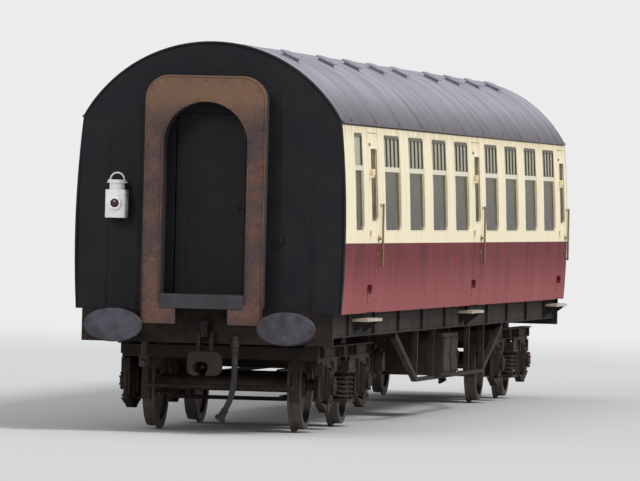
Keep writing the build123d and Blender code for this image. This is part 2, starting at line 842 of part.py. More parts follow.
with BuildPart() as housings:
    for end in ends.values():
        for side in sides.values():
            with BuildSketch(buffer_plane(end, side)) as base:
                RectangleRounded(*base_size, base_corner)
            extrude(base.sketch, amount=base_thickness)
            with BuildSketch(buffer_plane(end, side)) as sleeve:
                Circle(housing_radius)
            extrude(sleeve.sketch, amount=housing_reach, taper=housing_taper)
            with BuildSketch(buffer_plane(end, side, housing_reach - 2 * housing_lip)) as lip:
                Circle(housing_radius - housing_lip / 2)
            extrude(lip.sketch, amount=2 * housing_lip)
            with BuildSketch(buffer_plane(end, side)) as bore:
                Circle(ram_radius)
            extrude(bore.sketch, amount=housing_reach + overrun, mode=Mode.SUBTRACT)
save(housings, "buffer_housings")

with BuildPart() as heads:
    for end in ends.values():
        for side in sides.values():
            with BuildSketch(buffer_plane(end, side)) as ram:
                Circle(ram_radius - seat_gap)
            extrude(ram.sketch, amount=buffer_reach - head_thickness / 2)
            with BuildSketch(buffer_plane(end, side, buffer_reach - head_thickness - neck_radii[1])) as neck:
                Circle(neck_radii[0])
            extrude(neck.sketch, amount=neck_radii[1] + 1)
            with BuildSketch(buffer_plane(end, side, buffer_reach - head_thickness)) as head:
                Ellipse(*head_radii)
            extrude(head.sketch, amount=head_thickness)
        rims = [e for e in heads.edges() if abs(e.center().X - end * (half_length + buffer_reach)) < 1]
        fillet(rims, head_round)
save(heads, "buffer_heads")

# Drawgear: a hook on each headstock, with a knuckle coupler hanging from its pin
coupler_pin_x = half_length + 80
coupler_pin_z = rail_top + 985
coupler_pin_radius = 20
fork_inner = 48
fork_outer = 84
fork_eye = 38
fork_reach = 215
coupler_reach = 425
jaw_width = 330
jaw_height = 240
jaw_corner = 70
jaw_half_depth = 90
hook_half = 35
throat_radius = 38
tip_radius = 34
shank_heights = (-40, 110)  # about the coupler's pin
throat_place = (132, 88)  # from the headstock and from the pin
tip_place = (181, 66)


def hook_shape(end):
    """A draw hook from the side, in the current sketch: a shank with an upturned tip round a throat."""
    with BuildLine() as outline:
        Polyline((end * half_length, coupler_pin_z + shank_heights[0]),
                 (end * (half_length + throat_place[0]), coupler_pin_z + shank_heights[0]),
                 (end * (half_length + tip_place[0] + tip_radius), coupler_pin_z + tip_place[1] - tip_radius),
                 (end * (half_length + tip_place[0] + tip_radius), coupler_pin_z + tip_place[1] + tip_radius),
                 (end * (half_length + throat_place[0]), coupler_pin_z + throat_place[1]),
                 (end * (half_length + throat_place[0] - throat_radius), coupler_pin_z + shank_heights[1]),
                 (end * half_length, coupler_pin_z + shank_heights[1]), close=True)
    make_face(outline.line)
    with Locations((end * (half_length + tip_place[0]), coupler_pin_z + tip_place[1] + tip_radius)):
        Circle(tip_radius)
    with Locations((end * (half_length + throat_place[0] - overrun),
                    coupler_pin_z + throat_place[1] + overrun)):
        Circle(throat_radius, mode=Mode.SUBTRACT)


with BuildPart() as hooks:
    for end in ends.values():
        with BuildSketch(Plane.XZ.offset(-hook_half)) as hook:
            hook_shape(end)
        extrude(hook.sketch, amount=2 * hook_half)
        pin_half = fork_outer + overrun
        rod((end * coupler_pin_x, -pin_half, coupler_pin_z), (end * coupler_pin_x, pin_half, coupler_pin_z),
            coupler_pin_radius)
save(hooks, "draw_hooks")

jaw_centre = coupler_pin_z - coupler_reach + jaw_height / 2
knuckle_gap = (150, 110, 45)  # width, height and corner of the space behind the knuckle
knuckle_shift = (30, 38)
mouth_size = 90
mouth_shift = 20


def coupler_head(end, name):
    """A knuckle coupler hanging down from its pin, with the jaw at the foot."""
    x, z = end * coupler_pin_x, coupler_pin_z
    with BuildPart() as coupler:
        for side in sides.values():
            box(x - fork_eye, x + fork_eye, side * fork_inner, side * fork_outer,
                z - fork_reach - barrel_drop, z)
            rod((x, side * fork_inner, z), (x, side * fork_outer, z), fork_eye)
        rod((x, -fork_outer - 1, z), (x, fork_outer + 1, z), coupler_pin_radius + running_gap,
            mode=Mode.SUBTRACT)
        with BuildSketch(Plane.YZ.offset(x - jaw_half_depth)) as jaw:
            with Locations((0, jaw_centre)):
                RectangleRounded(jaw_width, jaw_height, jaw_corner)
            with Locations((-end * knuckle_shift[0], jaw_centre - knuckle_shift[1])):
                RectangleRounded(*knuckle_gap, mode=Mode.SUBTRACT)
            with Locations((-end * mouth_shift, jaw_centre - jaw_height / 2 + mouth_shift)):
                Rectangle(mouth_size, mouth_size, mode=Mode.SUBTRACT)
        extrude(jaw.sketch, amount=2 * jaw_half_depth)
    save(coupler, name)


for word, end in ends.items():
    coupler_head(end, f"coupler_head_{word}")


# Equipment under the floor: battery boxes in the trusses, two brake cylinders and a dynamo
battery_length = 1300
battery_end = 1430  # the end that lies further along the coach
battery_inner = 660
battery_outer = 1290
battery_top = rail_top + 900
battery_doors = 2
battery_door_depth = 12
battery_door_gap = 40
battery_frame = 35
battery_hanger = (60, 25, 20)  # from the box's end, half-length and half-width
cylinder_x = 2250
cylinder_radius = 290
cylinder_foot = rail_top + 480
cylinder_top = rail_top + 880
cylinder_rim = (18, 36)  # how far the rim stands out, and its height
cylinder_crown = 50
cylinder_crown_radius = 232
piston_rod = (60, 80)  # radius and reach
cylinder_hanger = (60, 200)
dynamo_x = -4350
dynamo_z = rail_top + 640
dynamo_parts = ((-950, -420, 180), (-1040, -950, 110), (-1010, -960, 140))  # from Y, to Y, radius
dynamo_hanger = (30, -880, -500, 20)
with BuildPart() as equipment:
    box_foot = truss_foot + truss_bar
    door_length = battery_length / battery_doors - 2 * battery_door_gap
    for side in sides.values():
        x0 = min(side * battery_end, side * (battery_end - battery_length))
        box(x0, x0 + battery_length, side * battery_inner, side * battery_outer, box_foot, battery_top)
        for i in range(battery_doors):
            start = x0 + battery_door_gap + i * battery_length / battery_doors
            box(start, start + door_length, side * battery_outer, side * (battery_outer + battery_door_depth),
                box_foot + battery_frame, battery_top - battery_frame)
        from_end, half, depth = battery_hanger
        for x in (x0 + from_end, x0 + battery_length - from_end):
            box(x - half, x + half, side * (truss_y - depth), side * (truss_y + depth),
                battery_top, solebar_foot)
    for end in ends.values():
        x = end * cylinder_x
        rim_radius = cylinder_radius + cylinder_rim[0]
        with BuildSketch(Plane(origin=(x, 0, 0), x_dir=(1, 0, 0), z_dir=(0, -1, 0))) as half_cylinder:
            with BuildLine():
                Polyline((0, cylinder_foot - piston_rod[1]), (piston_rod[0], cylinder_foot - piston_rod[1]),
                         (piston_rod[0], cylinder_foot), (cylinder_radius, cylinder_foot),
                         (cylinder_radius, cylinder_top - cylinder_rim[1]),
                         (rim_radius, cylinder_top - cylinder_rim[1]),
                         (rim_radius, cylinder_top), (cylinder_radius, cylinder_top),
                         (cylinder_crown_radius, cylinder_top + cylinder_crown),
                         (0, cylinder_top + cylinder_crown), close=True)
            make_face()
        revolve(half_cylinder.sketch, axis=Axis((x, 0, 0), (0, 0, 1)))
        box(x - cylinder_hanger[0], x + cylinder_hanger[0], -cylinder_hanger[1], cylinder_hanger[1],
            cylinder_top + cylinder_crown, bearer_foot)
    for start, stop, radius in dynamo_parts:
        rod((dynamo_x, start, dynamo_z), (dynamo_x, stop, dynamo_z), radius)
    half, start, stop, lap = dynamo_hanger
    box(dynamo_x - half, dynamo_x + half, start, stop, dynamo_z + dynamo_parts[0][2] - lap, bearer_foot)
save(equipment, "underfloor_equipment")

# Step boards below the doors, on gussets of the solebars
step_top = rail_top + 1140
step_thickness = 28
step_length = 1100
step_reach = 1395
step_end_gap = 90
gusset_spread = 350
gusset_half = 8
gusset_lip = 14
gusset_depth = 150
gusset_set = 20
with BuildPart() as steps:
    step_foot = step_top - step_thickness
    furthest = half_length - step_length / 2 - step_end_gap
    for side in sides.values():
        inner, tip = side * solebar_half, side * (step_reach - gusset_set)
        for distance in door_centres:
            x = max(-furthest, min(furthest, station(distance)))
            box(x - step_length / 2, x + step_length / 2, inner, side * step_reach, step_foot, step_top)
            for place in (x - gusset_spread, x + gusset_spread):
                with BuildSketch(Plane.YZ.offset(place - gusset_half)) as gusset:
                    with BuildLine():
                        Polyline((inner, step_foot), (tip, step_foot), (tip, step_foot - gusset_lip),
                                 (inner, step_top - gusset_depth), close=True)
                    make_face()
                extrude(gusset.sketch, amount=2 * gusset_half)
save(steps, "step_boards")


# Pipes and the brake hose on each end
hose_y = 300
hose_x = half_length + 65
hose_top = rail_top + 852
hose_radius = 32
pipe_radius = 30
pipe_height = headstock_foot + 60
clip_radius = hose_radius + 10
clip_height = 60
steam_y = 635
steam_set = 40  # from the headstock's face, inwards
steam_radius = 32
steam_foot = rail_top + 640
cock_half = 45
cock_height = 100
nozzle_reach = 130
nozzle_drop = 30
nozzle_radius = 34
with BuildPart() as pipes:
    for end in ends.values():
        y = end * hose_y
        rod((end * half_length, y, pipe_height), (end * hose_x, y, pipe_height), pipe_radius)
        with Locations((end * hose_x, y, pipe_height)):
            Sphere(pipe_radius)
        rod((end * hose_x, y, pipe_height), (end * hose_x, y, hose_top + clip_height), pipe_radius)
        rod((end * hose_x, y, hose_top + clip_height), (end * hose_x, y, hose_top), clip_radius)
        x, y = end * (half_length - steam_set), -end * steam_y
        rod((x, y, headstock_foot), (x, y, steam_foot), steam_radius)
        box(x - cock_half, x + cock_half, y - cock_half, y + cock_half, steam_foot, steam_foot + cock_height)
        nozzle_z = steam_foot + cock_height / 2
        rod((x, y, nozzle_z), (x + end * nozzle_reach, y, nozzle_z - nozzle_drop), nozzle_radius)
save(pipes, "end_pipes")

# Each hose hangs down and then turns in towards the middle: outwards, across and up from its top
hose_points = (
    (0, 0, 0),
    (0, 0, -180),
    (4, -3, -395),
    (-6, -46, -560),
    (-14, -108, -668),
)
largest_arc = 0.45  # of the shorter run beside a corner
# From, to and radius, past the hose's end
coupling_parts = ((0, 40, hose_radius + 8), (40, 75, hose_radius + 24))


def hose_radii(points):
    """The arc at each inner point, as large as its two runs allow."""
    radii = []
    for a, b, c in zip(points, points[1:], points[2:]):
        first, second = Vector(*b) - Vector(*a), Vector(*c) - Vector(*b)
        half_turn = radians(first.get_angle(second)) / 2
        radii.append(largest_arc * min(first.length, second.length) * cos(half_turn) / sin(half_turn))
    return radii


def hose_path(end):
    top = Vector(end * hose_x, end * hose_y, hose_top)
    return [top + Vector(end * out, end * across, up) for out, across, up in hose_points]


for word, end in ends.items():
    path = hose_path(end)
    radii = hose_radii(path)
    with BuildPart() as hose:
        with BuildLine() as line:
            FilletPolyline(*path, radius=radii)
        with BuildSketch(Plane(origin=path[0], z_dir=path[1] - path[0])):
            Circle(hose_radius)
        sweep()
    length = sum(e.length for e in line.edges())
    print("hose", word, "radii", [round(r) for r in radii], "diameters", round(length / (2 * hose_radius), 1),
          "volume ratio", round(hose.part.volume / (length * pi * hose_radius**2), 5))
    save(hose, f"hose_{word}")

with BuildPart() as couplings:
    for end in ends.values():
        path = hose_path(end)
        way = (path[-1] - path[-2]).normalized()
        for start, stop, radius in coupling_parts:
            rod(path[-1] + way * start, path[-1] + way * stop, radius)
save(couplings, "hose_couplings")


# Tail lamp on the near end's upper iron
lamp_y = iron_places[0][0]
lamp_foot = rail_top + iron_places[0][1] + 35
lamp_half = 105
lamp_body = 280
lamp_corner = 30
chimney_parts = ((0, 70, 78), (70, 100, 95))  # from, to and radius, above the body
lens_height = lamp_foot + 145
lens_hood = (62, 40)  # radius and reach
lens_radius = 45
lens_set = 28
handle_radii = (70, 8)
with BuildPart() as lamp:
    back = -(end_face(lamp_y) + iron_reach + seat_gap)
    front = back - 2 * lamp_half
    middle = back - lamp_half
    box(back, front, lamp_y - lamp_half, lamp_y + lamp_half, lamp_foot, lamp_foot + lamp_body)
    fillet(lamp.edges().filter_by(Axis.Z), lamp_corner)
    lamp_top = lamp_foot + lamp_body
    for start, stop, radius in chimney_parts:
        rod((middle, lamp_y, lamp_top + start), (middle, lamp_y, lamp_top + stop), radius)
    hood_end = front - lens_hood[1]
    rod((front, lamp_y, lens_height), (hood_end, lamp_y, lens_height), lens_hood[0])
    rod((hood_end - 1, lamp_y, lens_height), (front - lens_set, lamp_y, lens_height), lens_radius,
        mode=Mode.SUBTRACT)
    with Locations(Plane(origin=(middle, lamp_y, lamp_top + chimney_parts[-1][1]), z_dir=(1, 0, 0))):
        Torus(*handle_radii)
save(lamp, "tail_lamp")


# Bogies: plate side frames joined by cross members. The body rests on the bolster, and that on coil
# springs, which stand on a spring plank; leaf springs hang below the axleboxes.
frame_y = 990
frame_plate = 24
frame_flange_half = 60
frame_flange = 14
frame_top = rail_top + 860
beam_foot = rail_top + 730
frame_end = 1865
end_beam = 1840
end_beam_half = 25
end_beam_heights = (rail_top + 715, frame_top - 20)
panel_places = (430, 520, 1560, 1650)  # along a side plate from its middle: where it deepens, and rises again
panel_foot = rail_top + 590
end_foot = rail_top + 690
horn_half = 135
horn_cheek = 50
horn_pad = 25
horn_face = 48
horn_lap = 2
horn_top = rail_top + 640
horn_foot = rail_top + 300
horn_cap = 20
tie_reach = 45
tie_depth = 14
tie_height = 24
frame_round = 45
transom_reach = 230
transom_half = 35
transom_top = frame_top - 30
hanger_tube_z = rail_top + 720
hanger_tube_radius = 28
hanger_tube_reach = axle_reach - wheel_radius - 83
bolt_reach = 385
bolt_radius = 16
bolt_bracket = (30, 45)
bolt_bracket_foot = rail_top + 560
bolt_bracket_top = rail_top + 700

plank_top = rail_top + 290
plank_thickness = 28
plank_half = (280, 1080)
link_half = 12
link_places = (690, 750)
bolster_half = 150
bolster_top = rail_top + 870
bolster_end = 915
bolster_foot = rail_top + 690
bolster_wing = 1075
coil_top = rail_top + 575
coil_y = 980
coil_reach = 160
coil_cap = 25
coil_cap_reach = (275, 870, 1090)
side_bearer_y = 780
side_bearer = (110, 80)
centre_bearer_radius = 160
centre_bearer_gap = 6

coil_radius = 82
coil_wire = 18
coil_turns = 5
coil_core = (74, 90)
leaves = 6
leaf = 12
leaf_half = 45
leaf_reach = 420
leaf_step = 62
leaf_top = rail_top + 292
leaf_camber = 26
buckle_half = 55
buckle_depth = (52, 47)
buckle_height = 12

axlebox_foot = axle_z - 130
axlebox_top = axle_z + 150
axlebox_depth = (85, 70)
axlebox_corner = 25
cover_radius = 92
cover_reach = 30
journal_depth = (90, 82)

block_gap = 8
block_thickness = 50
block_y = 765
block_half = 45
block_size = (120, 300)
block_set = 20
block_lap = 15
brake_hanger = (12, 30)
brake_hanger_set = 25
brake_lever_heights = (-60, -45, 5)  # the hanger's foot and the block's lug, about the axle
brake_beam_radius = 22
brake_beam_drop = 30


def side_plate(centre):
    """A bogie's side plate in the current sketch: a beam, deeper over each axle, with a horn gap there."""
    with Locations((centre, (beam_foot + frame_top) / 2)):
        Rectangle(2 * frame_end, frame_top - beam_foot)
    rise, deep, back, end = panel_places
    for hand in (-1, 1):
        with BuildLine() as outline:
            Polyline((centre + hand * rise, beam_foot), (centre + hand * deep, panel_foot),
                     (centre + hand * back, panel_foot), (centre + hand * end, end_foot),
                     (centre + hand * frame_end, end_foot), (centre + hand * frame_end, beam_foot),
                     close=True)
        make_face(outline.line)
        with Locations((centre + hand * axle_reach, (horn_foot + panel_foot) / 2)):
            Rectangle(2 * (horn_half + horn_cheek), panel_foot - horn_foot)
        with Locations((centre + hand * axle_reach, (horn_foot + horn_top) / 2)):
            Rectangle(2 * horn_half, horn_top - horn_foot, mode=Mode.SUBTRACT)


def leaf_spring(x):
    """A laminated spring from the side, in the current sketch: leaves of one arc, each one shorter."""
    radius = (leaf_reach**2 + leaf_camber**2) / (2 * leaf_camber)
    middle = leaf_top - leaf_camber + radius
    for i in range(leaves):
        reach = leaf_reach - i * leaf_step
        inner, outer = radius + i * leaf, radius + (i + 1) * leaf
        z_inner, z_outer = middle - sqrt(inner**2 - reach**2), middle - sqrt(outer**2 - reach**2)
        with BuildLine() as outline:
            ThreePointArc((x - reach, z_inner), (x, middle - inner), (x + reach, z_inner))
            Line((x + reach, z_inner), (x + reach, z_outer))
            ThreePointArc((x + reach, z_outer), (x, middle - outer), (x - reach, z_outer))
            Line((x - reach, z_outer), (x - reach, z_inner))
        make_face(outline.line)


def coil_spring(x, y):
    """A coil spring on end, its turns as rings on a thin sleeve."""
    height = coil_top - plank_top
    pitch = (height - 2 * coil_wire) / (coil_turns - 1)
    with BuildSketch(Plane(origin=(x, y, 0), x_dir=(1, 0, 0), z_dir=(0, -1, 0))) as half_coil:
        with Locations(((coil_core[0] + coil_core[1]) / 2, plank_top + height / 2)):
            Rectangle(coil_core[1] - coil_core[0], height)
        for i in range(coil_turns):
            with Locations((coil_radius, plank_top + coil_wire + i * pitch)):
                Circle(coil_wire)
    revolve(half_coil.sketch, axis=Axis((x, y, 0), (0, 0, 1)))


def bogie_frame(centre, name):
    with BuildPart() as frame:
        for side in sides.values():
            with BuildSketch(Plane.XZ.offset(-side * frame_y - frame_plate / 2)) as plate:
                side_plate(centre)
                corners = [v for v in plate.vertices()
                           if abs(v.Y - panel_foot) < 1 or abs(v.Y - end_foot) < 1]
                fillet([v for v in corners if abs(abs(v.X - centre) - frame_end) > 1], frame_round)
            extrude(plate.sketch, amount=frame_plate)
            y0, y1 = side * (frame_y - frame_flange_half), side * (frame_y + frame_flange_half)
            box(centre - frame_end, centre + frame_end, y0, y1, frame_top - frame_flange, frame_top)
            for axle in (centre - axle_reach, centre + axle_reach):
                y0, y1 = side * (frame_y - horn_face), side * (frame_y + horn_face)
                for hand in (-1, 1):
                    x = axle + hand * (horn_half - horn_pad)
                    box(x, x + hand * (horn_pad + horn_lap), y0, y1, horn_foot, horn_top)
                    x = axle + hand * bolt_reach
                    box(x - bolt_bracket[0], x + bolt_bracket[0], side * (frame_y - bolt_bracket[1]),
                        side * (frame_y + bolt_bracket[1]), bolt_bracket_foot, bolt_bracket_top)
                tie = horn_half + tie_reach
                box(axle - tie, axle + tie, y1, y1 + side * tie_depth, horn_foot - horn_lap,
                    horn_foot - horn_lap + tie_height)
                box(axle - horn_half, axle + horn_half, y0, y1, horn_top, horn_top + horn_cap)
        for x in (centre - transom_reach, centre + transom_reach):
            box(x - transom_half, x + transom_half, -frame_y, frame_y, horn_top, transom_top)
        for x in (centre - end_beam, centre + end_beam):
            box(x - end_beam_half, x + end_beam_half, -frame_y, frame_y, *end_beam_heights)
        for x in (centre - hanger_tube_reach, centre + hanger_tube_reach):
            rod((x, -frame_y, hanger_tube_z), (x, frame_y, hanger_tube_z), hanger_tube_radius)
    save(frame, name)


def bogie_bolster(centre, name):
    with BuildPart() as bolster:
        x0, x1 = centre - bolster_half, centre + bolster_half
        box(x0, x1, -bolster_end, bolster_end, bolster_foot, bolster_top)
        box(x0, x1, -bolster_wing, bolster_wing, coil_top + coil_cap, bolster_foot + 2)
        along, inner, outer = coil_cap_reach
        for side in sides.values():
            box(centre - along, centre + along, side * inner, side * outer, coil_top, coil_top + coil_cap)
            box(centre - side_bearer[0], centre + side_bearer[0], side * (side_bearer_y - side_bearer[1]),
                side * (side_bearer_y + side_bearer[1]), bolster_top, solebar_foot - seat_gap)
        rod((centre, 0, bolster_top), (centre, 0, solebar_foot - centre_plate_thickness - centre_bearer_gap),
            centre_bearer_radius)
        rod((centre, 0, centre_pin_foot - overrun), (centre, 0, solebar_foot),
            centre_pin_radius + running_gap, mode=Mode.SUBTRACT)
        box(centre - plank_half[0], centre + plank_half[0], -plank_half[1], plank_half[1],
            plank_top - plank_thickness, plank_top)
        for x in (centre - transom_reach, centre + transom_reach):
            for side in sides.values():
                box(x - link_half, x + link_half, side * link_places[0], side * link_places[1],
                    plank_top, horn_top)
    save(bolster, name)


def bogie_springs(centre, name):
    with BuildPart() as springs:
        for side in sides.values():
            for x in (centre - coil_reach, centre + coil_reach):
                coil_spring(x, side * coil_y)
            for axle in (centre - axle_reach, centre + axle_reach):
                with BuildSketch(Plane.XZ.offset(-side * frame_y - leaf_half)) as blades:
                    leaf_spring(axle)
                extrude(blades.sketch, amount=2 * leaf_half)
                box(axle - buckle_half, axle + buckle_half, side * (frame_y - buckle_depth[0]),
                    side * (frame_y + buckle_depth[1]),
                    leaf_top - leaf_camber - leaves * leaf - buckle_height, axlebox_foot)
                for x in (axle - bolt_reach, axle + bolt_reach):
                    rod((x, side * frame_y, leaf_top - leaf), (x, side * frame_y, bolt_bracket_foot),
                        bolt_radius)
    save(springs, name)


def bogie_axleboxes(centre, name):
    half = horn_half - horn_pad - seat_gap
    with BuildPart() as boxes:
        for side in sides.values():
            inner, outer = side * (frame_y - axlebox_depth[0]), side * (frame_y + axlebox_depth[1])
            for x in (centre - axle_reach, centre + axle_reach):
                with BuildSketch(Plane.XZ.offset(-inner)) as front:
                    with Locations((x, (axlebox_foot + axlebox_top) / 2)):
                        RectangleRounded(2 * half, axlebox_top - axlebox_foot, axlebox_corner)
                extrude(front.sketch, amount=inner - outer)
                rod((x, outer, axle_z), (x, outer + side * cover_reach, axle_z), cover_radius)
                rod((x, side * (frame_y - journal_depth[0]), axle_z),
                    (x, side * (frame_y + journal_depth[1]), axle_z),
                    journal_radius + running_gap, mode=Mode.SUBTRACT)
    save(boxes, name)


def bogie_brakes(centre, name):
    """Clasp brakes: a block each side of every wheel, on hangers joined by a beam across the bogie."""
    block_radius = wheel_radius + block_gap
    back_radius = block_radius + block_thickness
    foot, lug_foot, lug_top = (axle_z + height for height in brake_lever_heights)
    with BuildPart() as brakes:
        for axle in (-axle_reach, axle_reach):
            x = centre + axle
            for hand in (-1, 1):
                hanger_x = x + hand * (back_radius + brake_hanger_set)
                outside = abs(axle + hand * block_radius) > axle_reach
                top = end_beam_heights[0] if outside else hanger_tube_z - hanger_tube_radius
                for side in sides.values():
                    with BuildSketch(Plane.XZ.offset(-side * block_y - block_half)) as block:
                        with Locations((x, axle_z)):
                            Circle(back_radius)
                            Circle(block_radius, mode=Mode.SUBTRACT)
                        with Locations((x + hand * (block_radius + block_set), axle_z - block_set)):
                            Rectangle(*block_size, mode=Mode.INTERSECT)
                    extrude(block.sketch, amount=2 * block_half)
                    y0, y1 = side * (block_y - brake_hanger[1]), side * (block_y + brake_hanger[1])
                    box(hanger_x - brake_hanger[0], hanger_x + brake_hanger[0], y0, y1, foot, top)
                    box(x + hand * (back_radius - block_lap), hanger_x, y0, y1, lug_foot, lug_top)
                beam_z = axle_z - brake_beam_drop
                rod((hanger_x, -block_y, beam_z), (hanger_x, block_y, beam_z), brake_beam_radius)
    save(brakes, name)


# Half of a wheelset's profile: distance from the middle of the axle, and radius
tread_start = wheel_back + flange_root
rim_face = wheel_back + rim_width
wheel_profile = (
    (0, axle_radius), (hub_reach[0], axle_radius), (hub_reach[0], hub_radius), (web_at_hub[0], hub_radius),
    (web_at_rim[0], rim_inner), (wheel_back, rim_inner), (wheel_back, wheel_radius + flange_depth),
    (wheel_back + flange_crest, wheel_radius + flange_depth), (tread_start, wheel_radius),
    (rim_face, wheel_radius - tread_fall), (rim_face, rim_inner), (web_at_rim[1], rim_inner),
    (web_at_hub[1], hub_radius), (hub_reach[1], hub_radius), (hub_reach[1], journal_radius),
    (journal_end, journal_radius), (journal_end, 0),
)


def wheel_set(x, name):
    with BuildPart() as wheelset:
        with BuildSketch(Plane(origin=(x, 0, axle_z), x_dir=(0, 1, 0), z_dir=(1, 0, 0))) as half_profile:
            with BuildLine():
                Polyline(*[(-y, r) for y, r in reversed(wheel_profile)], *wheel_profile[1:], close=True)
            make_face()
        revolve(half_profile.sketch, axis=Axis((x, 0, axle_z), (0, 1, 0)))
    save(wheelset, name)


for word, end in ends.items():
    centre = end * bogie_centre
    bogie_frame(centre, f"bogie_{word}_frame")
    bogie_bolster(centre, f"bogie_{word}_bolster")
    bogie_springs(centre, f"bogie_{word}_springs")
    bogie_axleboxes(centre, f"bogie_{word}_axleboxes")
    bogie_brakes(centre, f"bogie_{word}_brakes")
    wheel_set(centre + end * axle_reach, f"wheelset_{word}_outer")
    wheel_set(centre - end * axle_reach, f"wheelset_{word}_inner")
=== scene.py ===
import bpy, bmesh, json
from math import pi, sin, cos, radians, sqrt, atan2, hypot
from mathutils import Vector, Matrix, Quaternion

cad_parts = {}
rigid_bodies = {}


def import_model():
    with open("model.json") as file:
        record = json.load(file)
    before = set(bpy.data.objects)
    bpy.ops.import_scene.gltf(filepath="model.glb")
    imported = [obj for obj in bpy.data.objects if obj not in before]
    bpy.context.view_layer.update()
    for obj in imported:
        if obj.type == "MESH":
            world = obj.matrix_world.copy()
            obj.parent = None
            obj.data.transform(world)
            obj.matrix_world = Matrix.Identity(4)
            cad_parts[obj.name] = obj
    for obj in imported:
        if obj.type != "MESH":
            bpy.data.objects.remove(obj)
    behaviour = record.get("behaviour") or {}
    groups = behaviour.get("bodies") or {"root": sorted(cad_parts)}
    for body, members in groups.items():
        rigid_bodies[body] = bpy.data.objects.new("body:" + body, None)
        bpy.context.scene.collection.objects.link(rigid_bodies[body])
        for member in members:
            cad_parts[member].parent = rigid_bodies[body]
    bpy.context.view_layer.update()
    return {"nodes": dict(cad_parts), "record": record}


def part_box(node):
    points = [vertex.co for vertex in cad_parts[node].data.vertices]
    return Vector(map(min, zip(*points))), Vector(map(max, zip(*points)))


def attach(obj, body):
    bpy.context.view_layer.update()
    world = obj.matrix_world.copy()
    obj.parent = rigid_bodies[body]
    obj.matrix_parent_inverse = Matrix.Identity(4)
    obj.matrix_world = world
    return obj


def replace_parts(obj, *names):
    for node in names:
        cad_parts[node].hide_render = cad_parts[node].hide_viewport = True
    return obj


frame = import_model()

# A corridor railway coach in crimson and cream. Metres, X along the coach, near end at -X, Z up.

nodes = frame["nodes"]
scene = bpy.context.scene
print("frame loaded:", len(nodes), "nodes")

railTop = 0.028
floorTop = railTop + 1.25
bodyHalf = 9.83
body = {"footZ": railTop + 1.2, "waistZ": railTop + 1.95, "footY": 1.345, "waistY": 1.3715, "eavesY": 1.305,
        "roofTop": railTop + 3.9, "roofRadius": 1.5, "shellHalf": 9.75}
layout = {"saloons": (2.64, 11.06), "bay": 1.905, "bays": 4, "doors": (2.17, 10.66, 19.07), "doorWidth": 0.71,
          "lavatoryWindow": 1.1}
window = {"width": 1.219, "lavatoryWidth": 0.61, "foot": railTop + 2.045, "height": 0.985, "corner": 0.062}
droplight = {"width": 0.51, "foot": railTop + 2.14, "height": 0.74, "corner": 0.055}
bogie = {"centre": 7.0865, "axleReach": 1.2955, "axleZ": railTop + 0.457, "frameY": 0.99}
sides = {"right": -1, "left": 1}
ends = {"near": -1, "far": 1}
up, along, sideways = Vector((0, 0, 1)), Vector((1, 0, 0)), Vector((0, 1, 0))


def station(distance):  # X at a distance from the near end of the body
    return distance - bodyHalf


def arcThrough(points):  # centre and radius of the circle through three points
    a, b, c = points
    squares = [p[0] ** 2 + p[1] ** 2 for p in points]
    gaps = (b[1] - c[1], c[1] - a[1], a[1] - b[1])
    spans = (c[0] - b[0], a[0] - c[0], b[0] - a[0])
    twice = 2 * sum(p[0] * g for p, g in zip(points, gaps))
    y = sum(q * g for q, g in zip(squares, gaps)) / twice
    z = sum(q * g for q, g in zip(squares, spans)) / twice
    return y, z, hypot(a[0] - y, a[1] - z)


roofCentreZ = body["roofTop"] - body["roofRadius"]
eavesZ = roofCentreZ + sqrt(body["roofRadius"] ** 2 - body["eavesY"] ** 2)
sideArc = arcThrough(((body["footY"], body["footZ"]), (body["waistY"], body["waistZ"]),
                      (body["eavesY"], eavesZ)))


def sideY(z):  # half-width of the body side at a height
    return sideArc[0] + sqrt(sideArc[2] ** 2 - (z - sideArc[1]) ** 2)


def bayCentres():
    return [station(start + layout["bay"] * (i + 0.5)) for start in layout["saloons"]
            for i in range(layout["bays"])]


def sideDoors():  # the ending of each side door's names, its side and its middle
    return [(f"{word}_{i}", side, station(distance)) for word, side in sides.items()
            for i, distance in enumerate(layout["doors"], 1)]


def atBothEnds(stage, *makers):
    for make in makers:
        for word, end in ends.items():
            make(word, end)
    print(stage)


# The camera stands low and far off, with a long lens
shot = {"place": (-86.96, -12.36, 2.31), "turn": 7.0, "focalPixels": 1465.0, "frameWidth": 120.0,
        "aimRight": -33.0, "aimUp": -6.5, "lean": 1.4, "sensor": 36.0, "clip": (1.0, 600.0)}


def makeCamera():
    turn = radians(shot["turn"])
    right = Vector((sin(turn), -cos(turn), 0))
    aim = Vector((cos(turn), sin(turn), 0)) + right * (shot["aimRight"] / shot["focalPixels"])
    aim = (aim + up * (shot["aimUp"] / shot["focalPixels"])).normalized()
    cam = bpy.data.objects.new("camera", bpy.data.cameras.new("camera"))
    scene.collection.objects.link(cam)
    cam.data.sensor_width = shot["sensor"]
    cam.data.lens = shot["sensor"] * shot["focalPixels"] / shot["frameWidth"]
    cam.data.clip_start, cam.data.clip_end = shot["clip"]
    cam.location = shot["place"]
    cam.rotation_mode = "QUATERNION"
    lean = Quaternion(aim, radians(-shot["lean"]))  # the coach leans a little in the view
    cam.rotation_quaternion = lean @ aim.to_track_quat("-Z", "Y")
    scene.camera = cam


makeCamera()
print("camera placed")


# Small helpers for meshes
def meshFrom(name, verts, faces, smooth=False):
    mesh = bpy.data.meshes.new(name)
    mesh.from_pydata([tuple(v) for v in verts], [], faces)
    mesh.validate()
    if smooth:
        mesh.shade_smooth()
    return mesh


def bakeModifiers(obj):  # the modifiers' result becomes the plain mesh
    graph = bpy.context.evaluated_depsgraph_get()
    mesh = bpy.data.meshes.new_from_object(obj.evaluated_get(graph))
    mesh.name = obj.name
    obj.modifiers.clear()
    obj.data = mesh
    return obj


